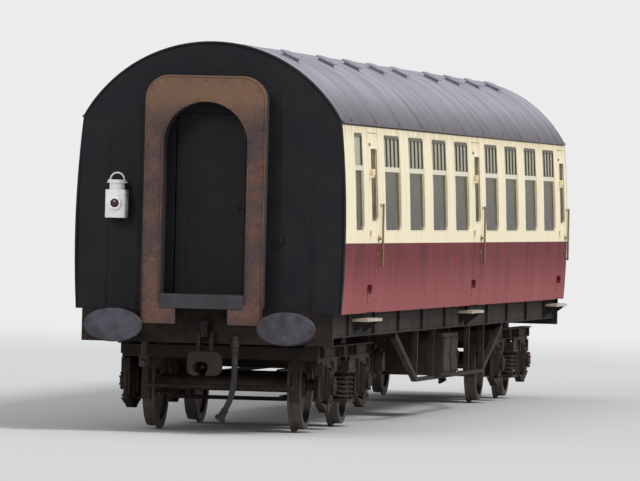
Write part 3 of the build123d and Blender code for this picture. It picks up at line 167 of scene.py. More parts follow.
class Shape:  # gathers boxes, turned profiles, tubes and skins into one mesh
    def __init__(self):
        self.verts, self.faces = [], []

    def add(self, verts, faces):
        start = len(self.verts)
        self.verts += [Vector(v) for v in verts]
        self.faces += [[start + i for i in f] for f in faces]
        return self

    def skin(self, rows, closed=False, caps=True):  # over rows of points, each row a loop
        count, steps = len(rows), len(rows[0])
        faces = []
        for j in range(count if closed else count - 1):
            here, ahead = j * steps, (j + 1) % count * steps
            faces += [[here + i, here + (i + 1) % steps, ahead + (i + 1) % steps, ahead + i]
                      for i in range(steps)]
        if caps and not closed:
            faces += [list(reversed(range(steps))), list(range((count - 1) * steps, count * steps))]
        return self.add([v for row in rows for v in row], faces)

    def block(self, low, high, bevel=0.0):
        bm = bmesh.new()
        made = bmesh.ops.create_cube(bm, size=1.0)
        for v in made["verts"]:
            v.co = [(a + b) / 2 + c * abs(b - a) for a, b, c in zip(low, high, v.co)]
        if bevel > 0:
            bmesh.ops.bevel(bm, geom=bm.edges[:], offset=bevel, segments=2, profile=0.7, affect="EDGES")
        bm.verts.index_update()
        self.add([v.co.copy() for v in bm.verts], [[v.index for v in f.verts] for f in bm.faces])
        bm.free()
        return self

    def turned(self, profile, start, axis, steps=24, ring=False):  # profile is (along, radius) from start
        axis = Vector(axis).normalized()
        side = axis.orthogonal().normalized()
        other = axis.cross(side)
        angles = [2 * pi * i / steps for i in range(steps)]
        return self.skin([[Vector(start) + axis * reach + (side * cos(a) + other * sin(a)) * max(radius, 1e-5)
                           for a in angles] for reach, radius in profile], ring)

    def rod(self, start, length, radius, axis, steps=12):
        return self.turned([(0, radius), (length, radius)], start, axis, steps)

    def tube(self, points, radius, steps=8, closed=False):  # the radius may change along it
        points = [Vector(p) for p in points]
        last = len(points) - 1
        rows, normal = [], None
        for i, p in enumerate(points):
            before = points[i - 1] if i > 0 or closed else points[0]
            after = points[(i + 1) % len(points)] if i < last or closed else points[last]
            way = (after - before).normalized()
            if normal is None:
                normal = way.orthogonal().normalized()
            normal = (normal - way * normal.dot(way)).normalized()
            other = way.cross(normal)
            r = radius(i / last) if callable(radius) else radius
            rows.append([p + (normal * cos(2 * pi * k / steps) + other * sin(2 * pi * k / steps)) * r
                         for k in range(steps)])
        return self.skin(rows, closed)

    def mesh(self, name, smooth=False):  # merged, with its faces turned outwards
        mesh = meshFrom(name, self.verts, self.faces, smooth)
        bm = bmesh.new()
        bm.from_mesh(mesh)
        bmesh.ops.remove_doubles(bm, verts=bm.verts, dist=1e-5)
        bmesh.ops.recalc_face_normals(bm, faces=bm.faces)
        bm.to_mesh(mesh)
        bm.free()
        return mesh


def addPiece(name, shape, bodyName, slot, smooth=False, finish=None):  # in its slot's finish, or in another
    mesh = shape.mesh(name, smooth) if isinstance(shape, Shape) else shape
    obj = bpy.data.objects.new(name, mesh)
    scene.collection.objects.link(obj)
    mesh.materials.append(finishes[finish or slot])
    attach(obj, bodyName)
    return obj


# Shader building
class Sock:  # a socket that takes part in sums
    def __init__(self, web, out):
        self.web, self.out = web, out

    def maths(self, operation, *values):
        return self.web.add("ShaderNodeMath", {"operation": operation}, *values)

    def __add__(self, other):
        return self.maths("ADD", self, other)

    def __sub__(self, other):
        return self.maths("SUBTRACT", self, other)

    def __rsub__(self, other):
        return self.maths("SUBTRACT", other, self)

    def __mul__(self, other):
        return self.maths("MULTIPLY", self, other)

    def __pow__(self, other):
        return self.maths("POWER", self, other)

    __radd__, __rmul__ = __add__, __mul__

    def above(self, edge, soft):  # 0 below the edge, 1 above it
        return self.web.add("ShaderNodeMapRange", {"interpolation_type": "SMOOTHSTEP"}, self, edge - soft,
                            edge + soft)

    def absolute(self):
        return self.maths("ABSOLUTE", self)


def linear(colour):  # from 0-255 screen values
    shares = [c / 255 for c in colour]
    return (*[c / 12.92 if c <= 0.04045 else ((c + 0.055) / 1.055) ** 2.4 for c in shares], 1.0)


class NodeWeb:  # the nodes of a material or of the world
    def __init__(self, owner):
        owner.use_nodes = True
        self.owner, self.tree = owner, owner.node_tree
        self.tree.nodes.clear()

    def add(self, kind, settings=None, *values, **named):
        node = self.tree.nodes.new(kind)
        settings = dict(settings or {})
        out = settings.pop("out", 0)
        for key, value in settings.items():
            setattr(node, key, value)
        for key, value in [*enumerate(values), *named.items()]:
            socket = node.inputs[key.replace("_", " ") if isinstance(key, str) else key]
            if isinstance(value, Sock):
                self.tree.links.new(value.out, socket)
            elif value is not None:
                socket.default_value = value
        return Sock(self, node.outputs[out]) if node.outputs else None


class Finish(NodeWeb):  # one material; its colours are given as a screen shows them, 0 to 255
    def __init__(self, name):
        super().__init__(bpy.data.materials.new(name))
        self.place = self.add("ShaderNodeTexCoord", {"out": "Object"})
        split = self.add("ShaderNodeSeparateXYZ", None, self.place)
        self.x, self.y, self.z = [Sock(self, out) for out in split.out.node.outputs]

    def cloud(self, scale, detail=4.0, rough=0.55, stretch=None):
        place = self.add("ShaderNodeMapping", None, self.place, Scale=stretch) if stretch else self.place
        return self.add("ShaderNodeTexNoise", {"out": "Fac"}, Vector=place, Scale=scale, Detail=detail,
                        Roughness=rough)

    def mix(self, factor, first, second):  # the colour sockets are the seventh and eighth
        colours = [linear(c) if isinstance(c, tuple) else c for c in (first, second)]
        return self.add("ShaderNodeMix", {"data_type": "RGBA", "out": 2}, factor, *[None] * 5, *colours)

    def bump(self, height, strength, distance):
        return self.add("ShaderNodeBump", Strength=strength, Distance=distance, Height=height)

    def finish(self, colour, roughness, metallic=0.0, normal=None, **sockets):
        shader = self.add("ShaderNodeBsdfPrincipled", Base_Color=colour, Roughness=roughness,
                          Metallic=metallic, Normal=normal, **sockets)
        self.add("ShaderNodeOutputMaterial", None, shader)
        return self.owner


paint = {"crimson": (112, 26, 34), "crimsonDark": (66, 16, 24), "crimsonPale": (156, 90, 90),
         "cream": (246, 234, 202), "creamStain": (200, 180, 142), "roof": (154, 154, 166),
         "roofLow": (76, 70, 74), "gutter": (62, 46, 40), "end": (13, 14, 22), "frame": (20, 20, 21),
         "cast": (24, 23, 24), "dust": (92, 80, 68), "rust": (98, 58, 40), "plate": (78, 62, 62),
         "plateRust": (104, 76, 62), "plateDark": (58, 42, 40), "plateTop": (134, 104, 80),
         "brass": (146, 130, 94), "brassWorn": (92, 78, 56), "paneHigh": (96, 96, 56),
         "paneLow": (14, 15, 13), "ventPane": (176, 174, 152), "ventFrame": (66, 62, 52),
         "sill": (226, 218, 196), "lining": (176, 140, 96), "liningDark": (140, 104, 66),
         "ceiling": (232, 226, 208), "wheelWeb": (50, 42, 38), "wheelRust": (76, 58, 48),
         "tread": (118, 112, 106), "board": (196, 188, 174), "boardDark": (150, 138, 122),
         "seatRed": (94, 30, 30), "seatSpot": (150, 62, 46), "seatPile": (70, 24, 24)}
zones = {"waist": railTop + 1.913, "dirt": railTop + 1.56, "gutter": railTop + 3.115,
         "roofDirt": railTop + 3.36, "vent": railTop + 2.702, "paneShade": railTop + 2.36,
         "hinge": layout["doorWidth"] / 2 + 0.002, "hingeReach": 0.075, "proud": 0.016, "lined": -0.03,
         "endLined": body["shellHalf"] - 0.06, "gangwayTop": railTop + 3.2, "wheelDust": railTop + 0.85,
         "stepFoot": railTop + 1.1115, "tread": (0.682, 0.8105)}


def doorGap(x, shift=0.0):  # distance along the coach to the nearest side door, or to a line beside it
    gaps = [(x - shift - station(place)).absolute() for place in layout["doors"]]
    return x.maths("MINIMUM", x.maths("MINIMUM", gaps[0], gaps[1]), gaps[2])


def lining(f):  # wood boards on the inside of the walls
    grain = f.cloud(5.0, 6.0, 0.6, (3.0, 3.0, 0.3))
    return f.mix(grain.above(0.5, 0.22), paint["lining"], paint["liningDark"])


def coachPaint():
    f = Finish("coachPaint")
    rise = f.z - sideArc[1]
    proud = f.y.absolute() - ((sideArc[2] ** 2 - rise * rise) ** 0.5 + sideArc[0])
    fitting = proud.above(zones["proud"], 0.002)
    hinge = 1 - doorGap(f.x, f.y.maths("SIGN", f.y) * zones["hinge"]).above(zones["hingeReach"], 0.002)
    metal = fitting * (1 - hinge)
    blotch, fine = f.cloud(0.9, 5.0), f.cloud(60.0, 3.0)
    streak, wide = f.cloud(1.0, 6.0, 0.6, (9.0, 3.0, 0.55)), f.cloud(1.0, 6.0, 0.6, (2.4, 1.0, 0.5))
    dirt = 1 - f.z.above(zones["dirt"], 0.34)  # paler towards the bottom of the side
    worn = streak.above(0.54, 0.1) * 0.45 + wide.above(0.54, 0.08) * 0.55
    red = f.mix(worn, paint["crimson"], paint["crimsonDark"])
    red = f.mix(dirt * (0.95 - wide * 0.25) + blotch.above(0.58, 0.16) * 0.15, red, paint["crimsonPale"])
    red = f.mix(fine.above(0.66, 0.1) * 0.2, red, paint["dust"])
    # painted shade: the proud fittings, the hinges among them, darkened towards dark crimson
    red = f.mix(fitting * 0.7, red, paint["crimsonDark"])
    cream = f.mix(streak.above(0.6, 0.14) * 0.35, paint["cream"], paint["creamStain"])
    gutter = f.z.above(zones["gutter"] - 0.1, 0.1)
    cream = f.mix(gutter * streak.above(0.46, 0.2) * 0.6, cream, paint["creamStain"])
    colour = f.mix(f.z.above(zones["waist"], 0.0015), red, cream)
    colour = f.mix(metal, colour, f.mix(fine.above(0.56, 0.16) * 0.6, paint["brass"], paint["brassWorn"]))
    colour = f.mix(1 - proud.above(zones["lined"], 0.002), colour, lining(f))
    rough = 0.52 + streak * 0.2 + dirt * 0.2 - metal * 0.2
    waves = f.bump(f.cloud(2.2, 2.0, 0.55, (1.0, 1.0, 0.6)), 0.12, 0.02)
    return f.finish(colour, rough, metal * 0.7, waves, Specular_IOR_Level=0.12)


def roofPaint():
    f = Finish("roofPaint")
    streak = f.cloud(1.0, 6.0, 0.55, (2.0, 0.7, 0.5))
    # painted shade: the roof darker towards the gutters, lighter on top
    colour = f.mix((1 - f.z.above(zones["roofDirt"], 0.22)) * 0.85, paint["roof"], paint["roofLow"])
    colour = f.mix(streak.above(0.54, 0.18) * 0.35, colour, paint["roofLow"])
    colour = f.mix(f.cloud(7.0, 5.0).above(0.62, 0.08) * 0.25, colour, paint["dust"])
    colour = f.mix(1 - f.z.above(zones["gutter"], 0.008), colour, paint["gutter"])
    rise = f.z - roofCentreZ
    reach = (f.y * f.y + rise * rise) ** 0.5
    colour = f.mix(1 - reach.above(body["roofRadius"] - 0.03, 0.002), colour, paint["ceiling"])
    grit = f.bump(f.cloud(30.0, 4.0), 0.15, 0.004)
    return f.finish(colour, 0.45 + streak * 0.25, 0.0, grit, Specular_IOR_Level=0.3)


def blackPaint(name, base, dusty, rough, rust, shine, lined=False):
    f = Finish(name)
    fine = f.cloud(45.0, 4.0)
    low = 1 - f.z.above(zones["wheelDust"], 0.5)
    colour = f.mix(f.cloud(2.5, 6.0).above(0.5, 0.2) * dusty + low * dusty, base, paint["dust"])
    if rust:
        colour = f.mix(f.cloud(6.0, 8.0, 0.7).above(0.58, 0.06) * rust, colour, paint["rust"])
    if lined:
        colour = f.mix(1 - f.x.absolute().above(zones["endLined"], 0.002), colour, lining(f))
    return f.finish(colour, rough + fine * 0.3, 0.0, f.bump(fine, 0.25, 0.002), Specular_IOR_Level=shine)


def rustyPlate():
    f = Finish("rustyPlate")
    fine = f.cloud(40.0, 6.0)
    colour = f.mix(f.cloud(2.6, 8.0, 0.65).above(0.5, 0.12), paint["plate"], paint["plateRust"])
    colour = f.mix(fine.above(0.58, 0.1) * 0.5, colour, paint["plateDark"])
    # painted highlight: the face plate lighter towards its top
    colour = f.mix(f.z.above(zones["gangwayTop"], 0.2) * 0.5, colour, paint["plateTop"])
    return f.finish(colour, 0.62 + fine * 0.25, 0.1, f.bump(fine, 0.4, 0.003), Specular_IOR_Level=0.3)


def bareSteel(name, base, dark, rough=0.35, worn=0.5):
    f = Finish(name)
    fine = f.cloud(80.0, 4.0)
    colour = f.mix(f.cloud(5.0, 7.0, 0.6).above(0.5, 0.15) * worn, base, dark)
    return f.finish(colour, rough + fine * 0.3, 0.6, f.bump(fine, 0.2, 0.0015))


def wheelSteel():
    f = Finish("wheelSteel")
    wide, fine = f.y.absolute(), f.cloud(50.0, 5.0)
    tread = wide.above(zones["tread"][0], 0.001) * (1 - wide.above(zones["tread"][1], 0.001))
    web = f.mix(f.cloud(7.0, 6.0).above(0.5, 0.15), paint["wheelWeb"], paint["wheelRust"])
    colour = f.mix(tread * 0.25, web, paint["tread"])
    return f.finish(colour, 0.5 + fine * 0.3, 0.3, f.bump(fine, 0.3, 0.002))


def clothFinish(name, base, dark, weave):
    f = Finish(name)
    waves = {"out": "Fac", "wave_type": "BANDS"}
    threads, across = [f.add("ShaderNodeTexWave", {**waves, "bands_direction": way}, Vector=f.place,
                             Scale=weave, Distortion=0.6, Detail=1.0) for way in "XZ"]
    colour = f.mix(f.cloud(3.0, 5.0).above(0.5, 0.2) * 0.6, base, dark)
    return f.finish(colour, 0.9, 0.0, f.bump(threads * across, 0.3, 0.0008), Sheen_Weight=0.2)


def windowGlass():  # clear panes, with a painted reflection that makes the ventilator panes above them pale and nearly opaque
    f = Finish("windowGlass")
    grime = f.cloud(3.0, 5.0, 0.55, (1.0, 1.0, 0.6))
    vent = f.z.above(zones["vent"], 0.002) * doorGap(f.x).above(layout["doorWidth"] / 2, 0.01)
    # painted shade at the panes' foot and painted light towards their top
    colour = f.mix(f.z.above(zones["paneShade"], 0.3), paint["paneLow"], paint["paneHigh"])
    colour = f.mix(grime.above(0.5, 0.25) * 0.4, colour, paint["paneHigh"])
    # painted reflection: the ventilator panes pale and nearly opaque
    return f.finish(f.mix(vent, colour, paint["ventPane"]), 0.06 + grime * 0.12 + vent * 0.3, 0.0, None,
                    Alpha=0.34 + vent * 0.6, Specular_IOR_Level=0.1)


def ventAlloy():  # dark round the panes, with a pale sill bar under them
    f = Finish("ventAlloy")
    fine = f.cloud(55.0, 5.0)
    colour = f.mix(f.z.above(zones["vent"], 0.001), paint["sill"], paint["ventFrame"])
    colour = f.mix(fine.above(0.55, 0.12) * 0.1, colour, paint["creamStain"])
    return f.finish(colour, 0.4 + fine * 0.2, 0.2, f.bump(fine, 0.2, 0.001))


def woodFinish(name, light, dark, scale, gloss, grainWay=(0.35, 8.0, 8.0)):
    f = Finish(name)
    grain = f.cloud(scale, 8.0, 0.6, grainWay)
    colour = f.mix(grain.above(0.5, 0.22), light, dark)
    return f.finish(colour, gloss + grain * 0.2, 0.0, f.bump(grain, 0.15, 0.002))


def stepWood():  # bare boards on iron brackets
    f = Finish("stepWood")
    grain = f.cloud(4.0, 8.0, 0.6, (0.35, 8.0, 8.0))
    colour = f.mix(grain.above(0.5, 0.22), paint["board"], paint["boardDark"])
    colour = f.mix(f.z.above(zones["stepFoot"], 0.0004), paint["frame"], colour)
    return f.finish(colour, 0.6 + grain * 0.2, 0.0, f.bump(grain, 0.3, 0.002))


def moquette():
    f = Finish("moquette")
    pile = f.cloud(260.0, 3.0)
    spots = f.add("ShaderNodeTexVoronoi", {"out": "Distance", "feature": "F1"}, Vector=f.place, Scale=22.0)
    colour = f.mix(spots.above(0.32, 0.06), paint["seatSpot"], paint["seatRed"])
    colour = f.mix(pile.above(0.5, 0.2) * 0.4, colour, paint["seatPile"])
    return f.finish(colour, 0.92, 0.0, f.bump(pile, 0.5, 0.002), Sheen_Weight=0.4)


def plainFinish(name, colour, worn, rough, metallic=0.0, scale=55.0):
    f = Finish(name)
    fine = f.cloud(scale, 5.0)
    mixed = f.mix(fine.above(0.55, 0.12) * 0.5, colour, worn)
    return f.finish(mixed, rough + fine * 0.2, metallic, f.bump(fine, 0.2, 0.001))


finishes = {
    "crimson_cream": coachPaint(),
    "roof_grey": roofPaint(),
    "end_black": blackPaint("endBlack", paint["end"], 0.05, 0.4, 0.0, 0.22, True),
    "frame_black": blackPaint("frameBlack", paint["frame"], 0.2, 0.62, 0.25, 0.12),
    "gangway_rust": rustyPlate(),
    "bellows_cloth": clothFinish("bellowsCloth", (22, 22, 26), (40, 37, 36), 500.0),
    "footplate_steel": bareSteel("footplateSteel", (60, 58, 63), (42, 38, 37)),
    "buffer_steel": bareSteel("bufferSteel", (78, 78, 88), (46, 42, 42), 0.42, 0.8),
    "cast_black": blackPaint("castBlack", paint["cast"], 0.2, 0.65, 0.4, 0.16),
    "wheel_steel": wheelSteel(),
    "clear_glass": windowGlass(),
    "vent_alloy": ventAlloy(),
    "wood_floor": woodFinish("brownLino", (84, 66, 50), (62, 48, 38), 3.0, 0.4),
    "veneer": woodFinish("veneer", (158, 104, 58), (116, 70, 38), 5.0, 0.25, (6.0, 6.0, 0.4)),
    "moquette": moquette(),
    "table_top": woodFinish("tableTop", (140, 92, 52), (104, 64, 36), 5.0, 0.2),
    "rack_steel": plainFinish("rackSteel", (160, 160, 158), (110, 106, 100), 0.3, 0.8),
    "hose_rubber": plainFinish("hoseRubber", (34, 33, 32), (64, 59, 55), 0.65, 0.0, 90.0),
    "pipe_iron": plainFinish("pipeIron", (42, 39, 38), (74, 58, 48), 0.55, 0.3),
    "lamp_white": plainFinish("lampWhite", (240, 240, 238), (206, 202, 192), 0.35),
    "step_wood": stepWood(),
    "door_brass": plainFinish("doorBrass", paint["brass"], paint["brassWorn"], 0.35, 0.7),
    "lens_red": plainFinish("lensRed", (58, 12, 14), (34, 8, 10), 0.08),
}
slotOf = {row["node"]: row["material_slot"] for row in frame["record"]["subparts"]}
for name, obj in nodes.items():
    obj.data.materials.clear()
    obj.data.materials.append(finishes[slotOf[name]])
print("finishes made:", len(finishes))

# Floor and light
studio = {"floorRadius": 60.0, "floorSteps": 96, "fadeStart": 26.0, "ground": (0.66, 0.66, 0.655, 1),
          "pale": (0.84, 0.84, 0.845, 1), "sky": (0.95, 0.97, 1.0, 1), "world": 0.62, "sunAngle": 14.0,
          "suns": (("key", 1.7, (0.35, 0.75, -0.8)), ("fill", 0.5, (0.9, -0.2, -0.35)))}


def makeFloor():
    radius, fade, steps = studio["floorRadius"], studio["fadeStart"], studio["floorSteps"]
    rim = [(radius * cos(2 * pi * i / steps), radius * sin(2 * pi * i / steps), 0) for i in range(steps)]
    mesh = meshFrom("floor_stage", [(0, 0, 0)] + rim, [[0, i + 1, (i + 1) % steps + 1] for i in range(steps)])
    floor = bpy.data.objects.new("floor_stage", mesh)
    scene.collection.objects.link(floor)
    f = Finish("paleFloor")
    far = ((f.x * f.x + f.y * f.y) ** 0.5).above((radius + fade) / 2, (radius - fade) / 2 - 1)
    ground = f.add("ShaderNodeBsdfDiffuse", None, studio["ground"])
    glow = f.add("ShaderNodeEmission", None, studio["pale"])
    f.add("ShaderNodeOutputMaterial", None, f.add("ShaderNodeMixShader", None, far, ground, glow))
    mesh.materials.append(f.owner)


def makeLight():
    scene.world = bpy.data.worlds.new("studio")
    web = NodeWeb(scene.world)
    seen, *rays = [web.add("ShaderNodeLightPath", {"out": f"Is {ray} Ray"})
                   for ray in ("Camera", "Glossy", "Transmission")]
    for ray in rays:  # mirrored and seen through glass, the room is as pale as straight ahead
        seen = seen.maths("MAXIMUM", seen, ray)
    sky = web.add("ShaderNodeBackground", None, studio["sky"], studio["world"])
    pale = web.add("ShaderNodeBackground", None, studio["pale"])
    web.add("ShaderNodeOutputWorld", None, web.add("ShaderNodeMixShader", None, seen, sky, pale))
    for name, strength, way in studio["suns"]:
        sun = bpy.data.lights.new(name, "SUN")
        sun.energy, sun.angle = strength, radians(studio["sunAngle"])
        obj = bpy.data.objects.new(name, sun)
        scene.collection.objects.link(obj)
        obj.rotation_mode = "QUATERNION"
        obj.rotation_quaternion = Vector(way).to_track_quat("-Z", "Y")
    scene.view_settings.view_transform = "Standard"


makeFloor()
makeLight()
print("studio made")

# Brake hoses: rubber tubes that hang from the pipe stands under the headstocks, each with its coupling
hose = {"top": (9.895, 0.3, railTop + 0.852), "radius": 0.032, "ridge": 0.0022, "ridgeStep": 0.012,
        "between": 4, "route": ((0, 0, 0), (0, 0, -0.18), (0.004, -0.003, -0.395), (-0.006, -0.046, -0.56),
                                (-0.014, -0.108, -0.668)),
        "coupling": ((-0.05, 0.0325), (-0.048, 0.0365), (-0.03, 0.0365), (-0.028, 0.034), (-0.006, 0.034),
                     (-0.004, 0.038), (0.02, 0.038), (0.022, 0.0395), (0.038, 0.0395), (0.04, 0.05),
                     (0.044, 0.0555), (0.07, 0.0555), (0.0745, 0.05), (0.0745, 0.03), (0.068, 0.028)),
        "lug": ((0.0, 0.012), (0.045, 0.012), (0.05, 0.009)), "lugAt": 0.056,
        "clip": ((-0.009, 0.0335), (-0.008, 0.0365), (0.008, 0.0365), (0.009, 0.0335)),
        "clipAt": (0.045, 0.075), "ear": (0.034, 0.05), "earHalf": 0.008}


def smoothLine(name, points, resolution=24):  # the curve that the points pull
    curve = bpy.data.curves.new(name, "CURVE")
    curve.dimensions = "3D"
    line = curve.splines.new("NURBS")
    line.points.add(len(points) - 1)
    for p, co in zip(line.points, points):
        p.co = (*co, 1)
    line.order_u = 3
    line.use_endpoint_u = True
    line.resolution_u = resolution
    obj = bpy.data.objects.new(name, curve)
    scene.collection.objects.link(obj)
    graph = bpy.context.evaluated_depsgraph_get()
    mesh = bpy.data.meshes.new_from_object(obj.evaluated_get(graph))
    path = [v.co.copy() for v in mesh.vertices]
    bpy.data.objects.remove(obj)
    bpy.data.meshes.remove(mesh)
    return path


def alongPath(path, distance):  # point and direction at a distance along a path
    for a, b in zip(path, path[1:]):
        run = (b - a).length
        if distance <= run:
            return a + (b - a) * (distance / run), (b - a).normalized()
        distance -= run
    return path[-1].copy(), (path[-1] - path[-2]).normalized()


def pathLength(path):
    return sum((b - a).length for a, b in zip(path, path[1:]))


def makeHose(word, end):
    turned = Vector((end, end, 1))
    route = [(Vector(hose["top"]) + Vector(p)) * turned for p in hose["route"]]
    path = smoothLine(f"hose_route_{word}", route)
    total = pathLength(path)
    ridges = int(total / hose["ridgeStep"])
    steps = ridges * hose["between"]

    def wall(t):  # a moulded ridge all along the rubber
        return hose["radius"] - hose["ridge"] * (1 - max(0.0, cos(2 * pi * t * ridges)) ** 2)
    rubber = Shape().tube([alongPath(path, total * i / steps)[0] for i in range(steps + 1)], wall, steps=20)
    tube = addPiece(f"hose_tube_{word}", rubber, "coach", "hose_rubber", smooth=True)
    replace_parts(tube, f"hose_{word}")
    tip, way = alongPath(path, total)
    metal = Shape().turned(hose["coupling"], tip, way, steps=32)
    cross = way.cross(sideways).normalized()
    for lug in (cross, Quaternion(way, pi) @ cross):
        metal.turned(hose["lug"], tip + way * hose["lugAt"], lug, steps=12)
    half = Vector([hose["earHalf"]] * 3)
    for at in hose["clipAt"]:
        spot, run = alongPath(path, at)
        metal.turned(hose["clip"], spot, run, steps=28)
        low, high = [spot + run.orthogonal().normalized() * reach for reach in hose["ear"]]
        metal.block(low - half, high + half, bevel=0.002)
    fitting = addPiece(f"hose_fitting_{word}", metal, "coach", "cast_black", smooth=True)
    if word == "near":
        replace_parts(fitting, "hose_couplings")


atBothEnds("hoses made", makeHose)


# Geometry Nodes make what repeats: rivets and bolts on marked points, coil springs, and rows of like pieces
class PieceTree:  # a tree with named inputs that ends in plain geometry with its material
    def __init__(self, name, **inputs):
        self.group = bpy.data.node_groups.new(name, "GeometryNodeTree")
        sockets = self.group.interface
        sockets.new_socket("Geometry", in_out="OUTPUT", socket_type="NodeSocketGeometry")
        sockets.new_socket("Geometry", in_out="INPUT", socket_type="NodeSocketGeometry")
        self.ids = {}
        for label, kind in {**inputs, "Material": "Material"}.items():
            socket = sockets.new_socket(label, in_out="INPUT", socket_type=f"NodeSocket{kind}")
            self.ids[label] = socket.identifier
        self.given = self.group.nodes.new("NodeGroupInput").outputs

    def add(self, kind, settings=None, **values):  # a node with its settings, then its values and links
        node = self.group.nodes.new(kind)
        for key, value in (settings or {}).items():
            setattr(node, key, value)
        for key, value in values.items():
            socket = node.inputs[key.replace("_", " ")]
            if isinstance(value, bpy.types.NodeSocket):
                self.group.links.new(value, socket)
            else:
                socket.default_value = value
        return node.outputs[0]

    def close(self, geometry):
        real = self.add("GeometryNodeRealizeInstances", Geometry=geometry)
        done = self.add("GeometryNodeSetMaterial", Geometry=real, Material=self.given["Material"])
        self.group.links.new(done, self.group.nodes.new("NodeGroupOutput").inputs[0])
        return self

    def onPoints(self, piece):  # the piece on each point, its Z along the point's own way
        way = self.add("GeometryNodeInputNamedAttribute", {"data_type": "FLOAT_VECTOR"}, Name="way")
        turn = self.add("FunctionNodeAlignRotationToVector", {"axis": "Z"}, Vector=way)
        placed = self.add("GeometryNodeInstanceOnPoints", Points=self.given["Geometry"], Instance=piece,
                          Rotation=turn)
        return self.close(placed)

    def make(self, name, source, bodyName, slot, smooth=False, **values):  # from a shape or marked points
        mesh = source.mesh(name) if isinstance(source, Shape) else marks(name, source)
        obj = bpy.data.objects.new(name, mesh)
        modifier = obj.modifiers.new("pieces", "NODES")
        modifier.node_group = self.group
        for label, value in values.items():
            modifier[self.ids[label]] = value
        modifier[self.ids["Material"]] = finishes[slot]
        scene.collection.objects.link(obj)
        bakeModifiers(obj)
        if smooth:
            obj.data.shade_smooth()
        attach(obj, bodyName)


def marks(name, spots):  # points with the way that each faces
    mesh = bpy.data.meshes.new(name)
    mesh.from_pydata([tuple(p) for p, way in spots], [], [])
    layer = mesh.attributes.new("way", "FLOAT_VECTOR", "POINT")
    for item, (p, way) in zip(layer.data, spots):
        item.vector = Vector(way).normalized()
    return mesh


def boltTree():
    t = PieceTree("bolts", Radius="Float", Height="Float", Sides="Int")
    return t.onPoints(t.add("GeometryNodeMeshCylinder", {"fill_type": "NGON"}, Vertices=t.given["Sides"],
                            Radius=t.given["Radius"], Depth=t.given["Height"]))


def rivetTree():
    t = PieceTree("rivets", Radius="Float")
    head = t.add("GeometryNodeMeshUVSphere", Segments=8, Rings=5, Radius=t.given["Radius"])
    return t.onPoints(t.add("GeometryNodeTransform", Geometry=head, Scale=(1.0, 1.0, 0.55)))


def coilTree():
    t = PieceTree("coils", Radius="Float", Wire="Float", Turns="Float", Height="Float")
    line = t.add("GeometryNodeCurveSpiral", Resolution=28, Rotations=t.given["Turns"],
                 Start_Radius=t.given["Radius"], End_Radius=t.given["Radius"], Height=t.given["Height"])
    wire = t.add("GeometryNodeCurvePrimitiveCircle", Resolution=10, Radius=t.given["Wire"])
    return t.onPoints(t.add("GeometryNodeCurveToMesh", Curve=line, Profile_Curve=wire, Fill_Caps=True))


def rowTree():  # repeats the piece that it is given along a straight line
    t = PieceTree("rows", Count="Int", Step="Vector")
    line = t.add("GeometryNodeMeshLine", {"mode": "OFFSET"}, Count=t.given["Count"], Offset=t.given["Step"])
    return t.close(t.add("GeometryNodeInstanceOnPoints", Points=line, Instance=t.given["Geometry"]))


bolts, rivets, coils, rows = boltTree(), rivetTree(), coilTree(), rowTree()


def circleSpots(centre, radius, count, way, second):  # a circle of marks, in the plane of X and second
    angles = [2 * pi * (i + 0.5) / count for i in range(count)]
    return [(Vector(centre) + (along * cos(a) + second * sin(a)) * radius, way) for a in angles]


# Gangways: pleated bellows in place of the plain folds, between the end wall and the face plate
gangway = {"plateBack": 10.179, "front": 10.224, "half": 0.609, "foot": railTop + 1.075,
           "top": railTop + 3.55, "corner": 0.24, "openHalf": 0.425, "openTop": railTop + 3.29}
bellows = {"set": 0.03, "lap": 0.012, "foot": railTop + 1.24, "corner": 0.2, "folds": 5, "depth": 0.034,
           "crown": 0.01, "crest": 0.7, "legSteps": 10, "cornerSteps": 8, "topSteps": 6,
           "at": (0.0, 0.1, 0.22, 0.35, 0.48, 0.6, 0.7, 0.76, 0.81, 0.85, 0.89, 0.94)}


def archLine(half, foot, top, corner, legs, turns, across):  # left foot, over the top, right foot
    line = [(-half, foot + (top - corner - foot) * i / legs) for i in range(legs)]
    for a in [pi / 2 * i / turns for i in range(turns)]:
        line.append((-half + corner - corner * cos(a), top - corner + corner * sin(a)))
    line += [(-(half - corner) + (half - corner) * i / (across / 2), top) for i in range(across // 2)]
    return line + [(0.0, top)] + [(-y, z) for y, z in reversed(line)]


def bellowsInset(u):  # how far the cloth lies in from its widest line, at a place in a fold
    crown, depth, crest = bellows["crown"], bellows["depth"], bellows["crest"]
    if u < crest:
        return crown * (1 - sin(pi * u / crest))
    return crown + (depth - crown) * sin(pi * (u - crest) / (1 - crest))


def makeBellows(word, end):
    b, g = bellows, gangway
    run = (g["plateBack"] - bodyHalf) / b["folds"]
    places = [(i + u, bellowsInset(u)) for i in range(b["folds"]) for u in b["at"]]
    places.append((b["folds"], b["crown"]))
    loops = []
    for place, inset in places:
        outer = archLine(g["half"] - b["set"] - inset, b["foot"], g["top"] - b["set"] - inset, b["corner"],
                         b["legSteps"], b["cornerSteps"], b["topSteps"])
        grow = b["lap"] + (b["depth"] - inset) * 0.5
        half = g["openHalf"] + grow
        inner = archLine(half, b["foot"], g["openTop"] + grow, half - 0.001, b["legSteps"],
                         b["cornerSteps"] + b["topSteps"] // 2 - 1, 2)
        loops.append([(end * (bodyHalf + place * run), y, z) for y, z in outer + inner[::-1]])
    shape = Shape().skin(loops, caps=False)
    last = len(loops[0]) - 1
    for start in (0, len(shape.verts) - last - 1):  # the two ends, between the outer and the inner line
        pairs = [(start + i, start + last - i) for i in range(last // 2)]
        shape.faces += [[outer, outer + 1, inner - 1, inner] for outer, inner in pairs]
    obj = addPiece(f"bellows_{word}", shape, "coach", "bellows_cloth", smooth=True)
    if word == "near":
        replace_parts(obj, "gangway_bellows")


atBothEnds("bellows made", makeBellows)

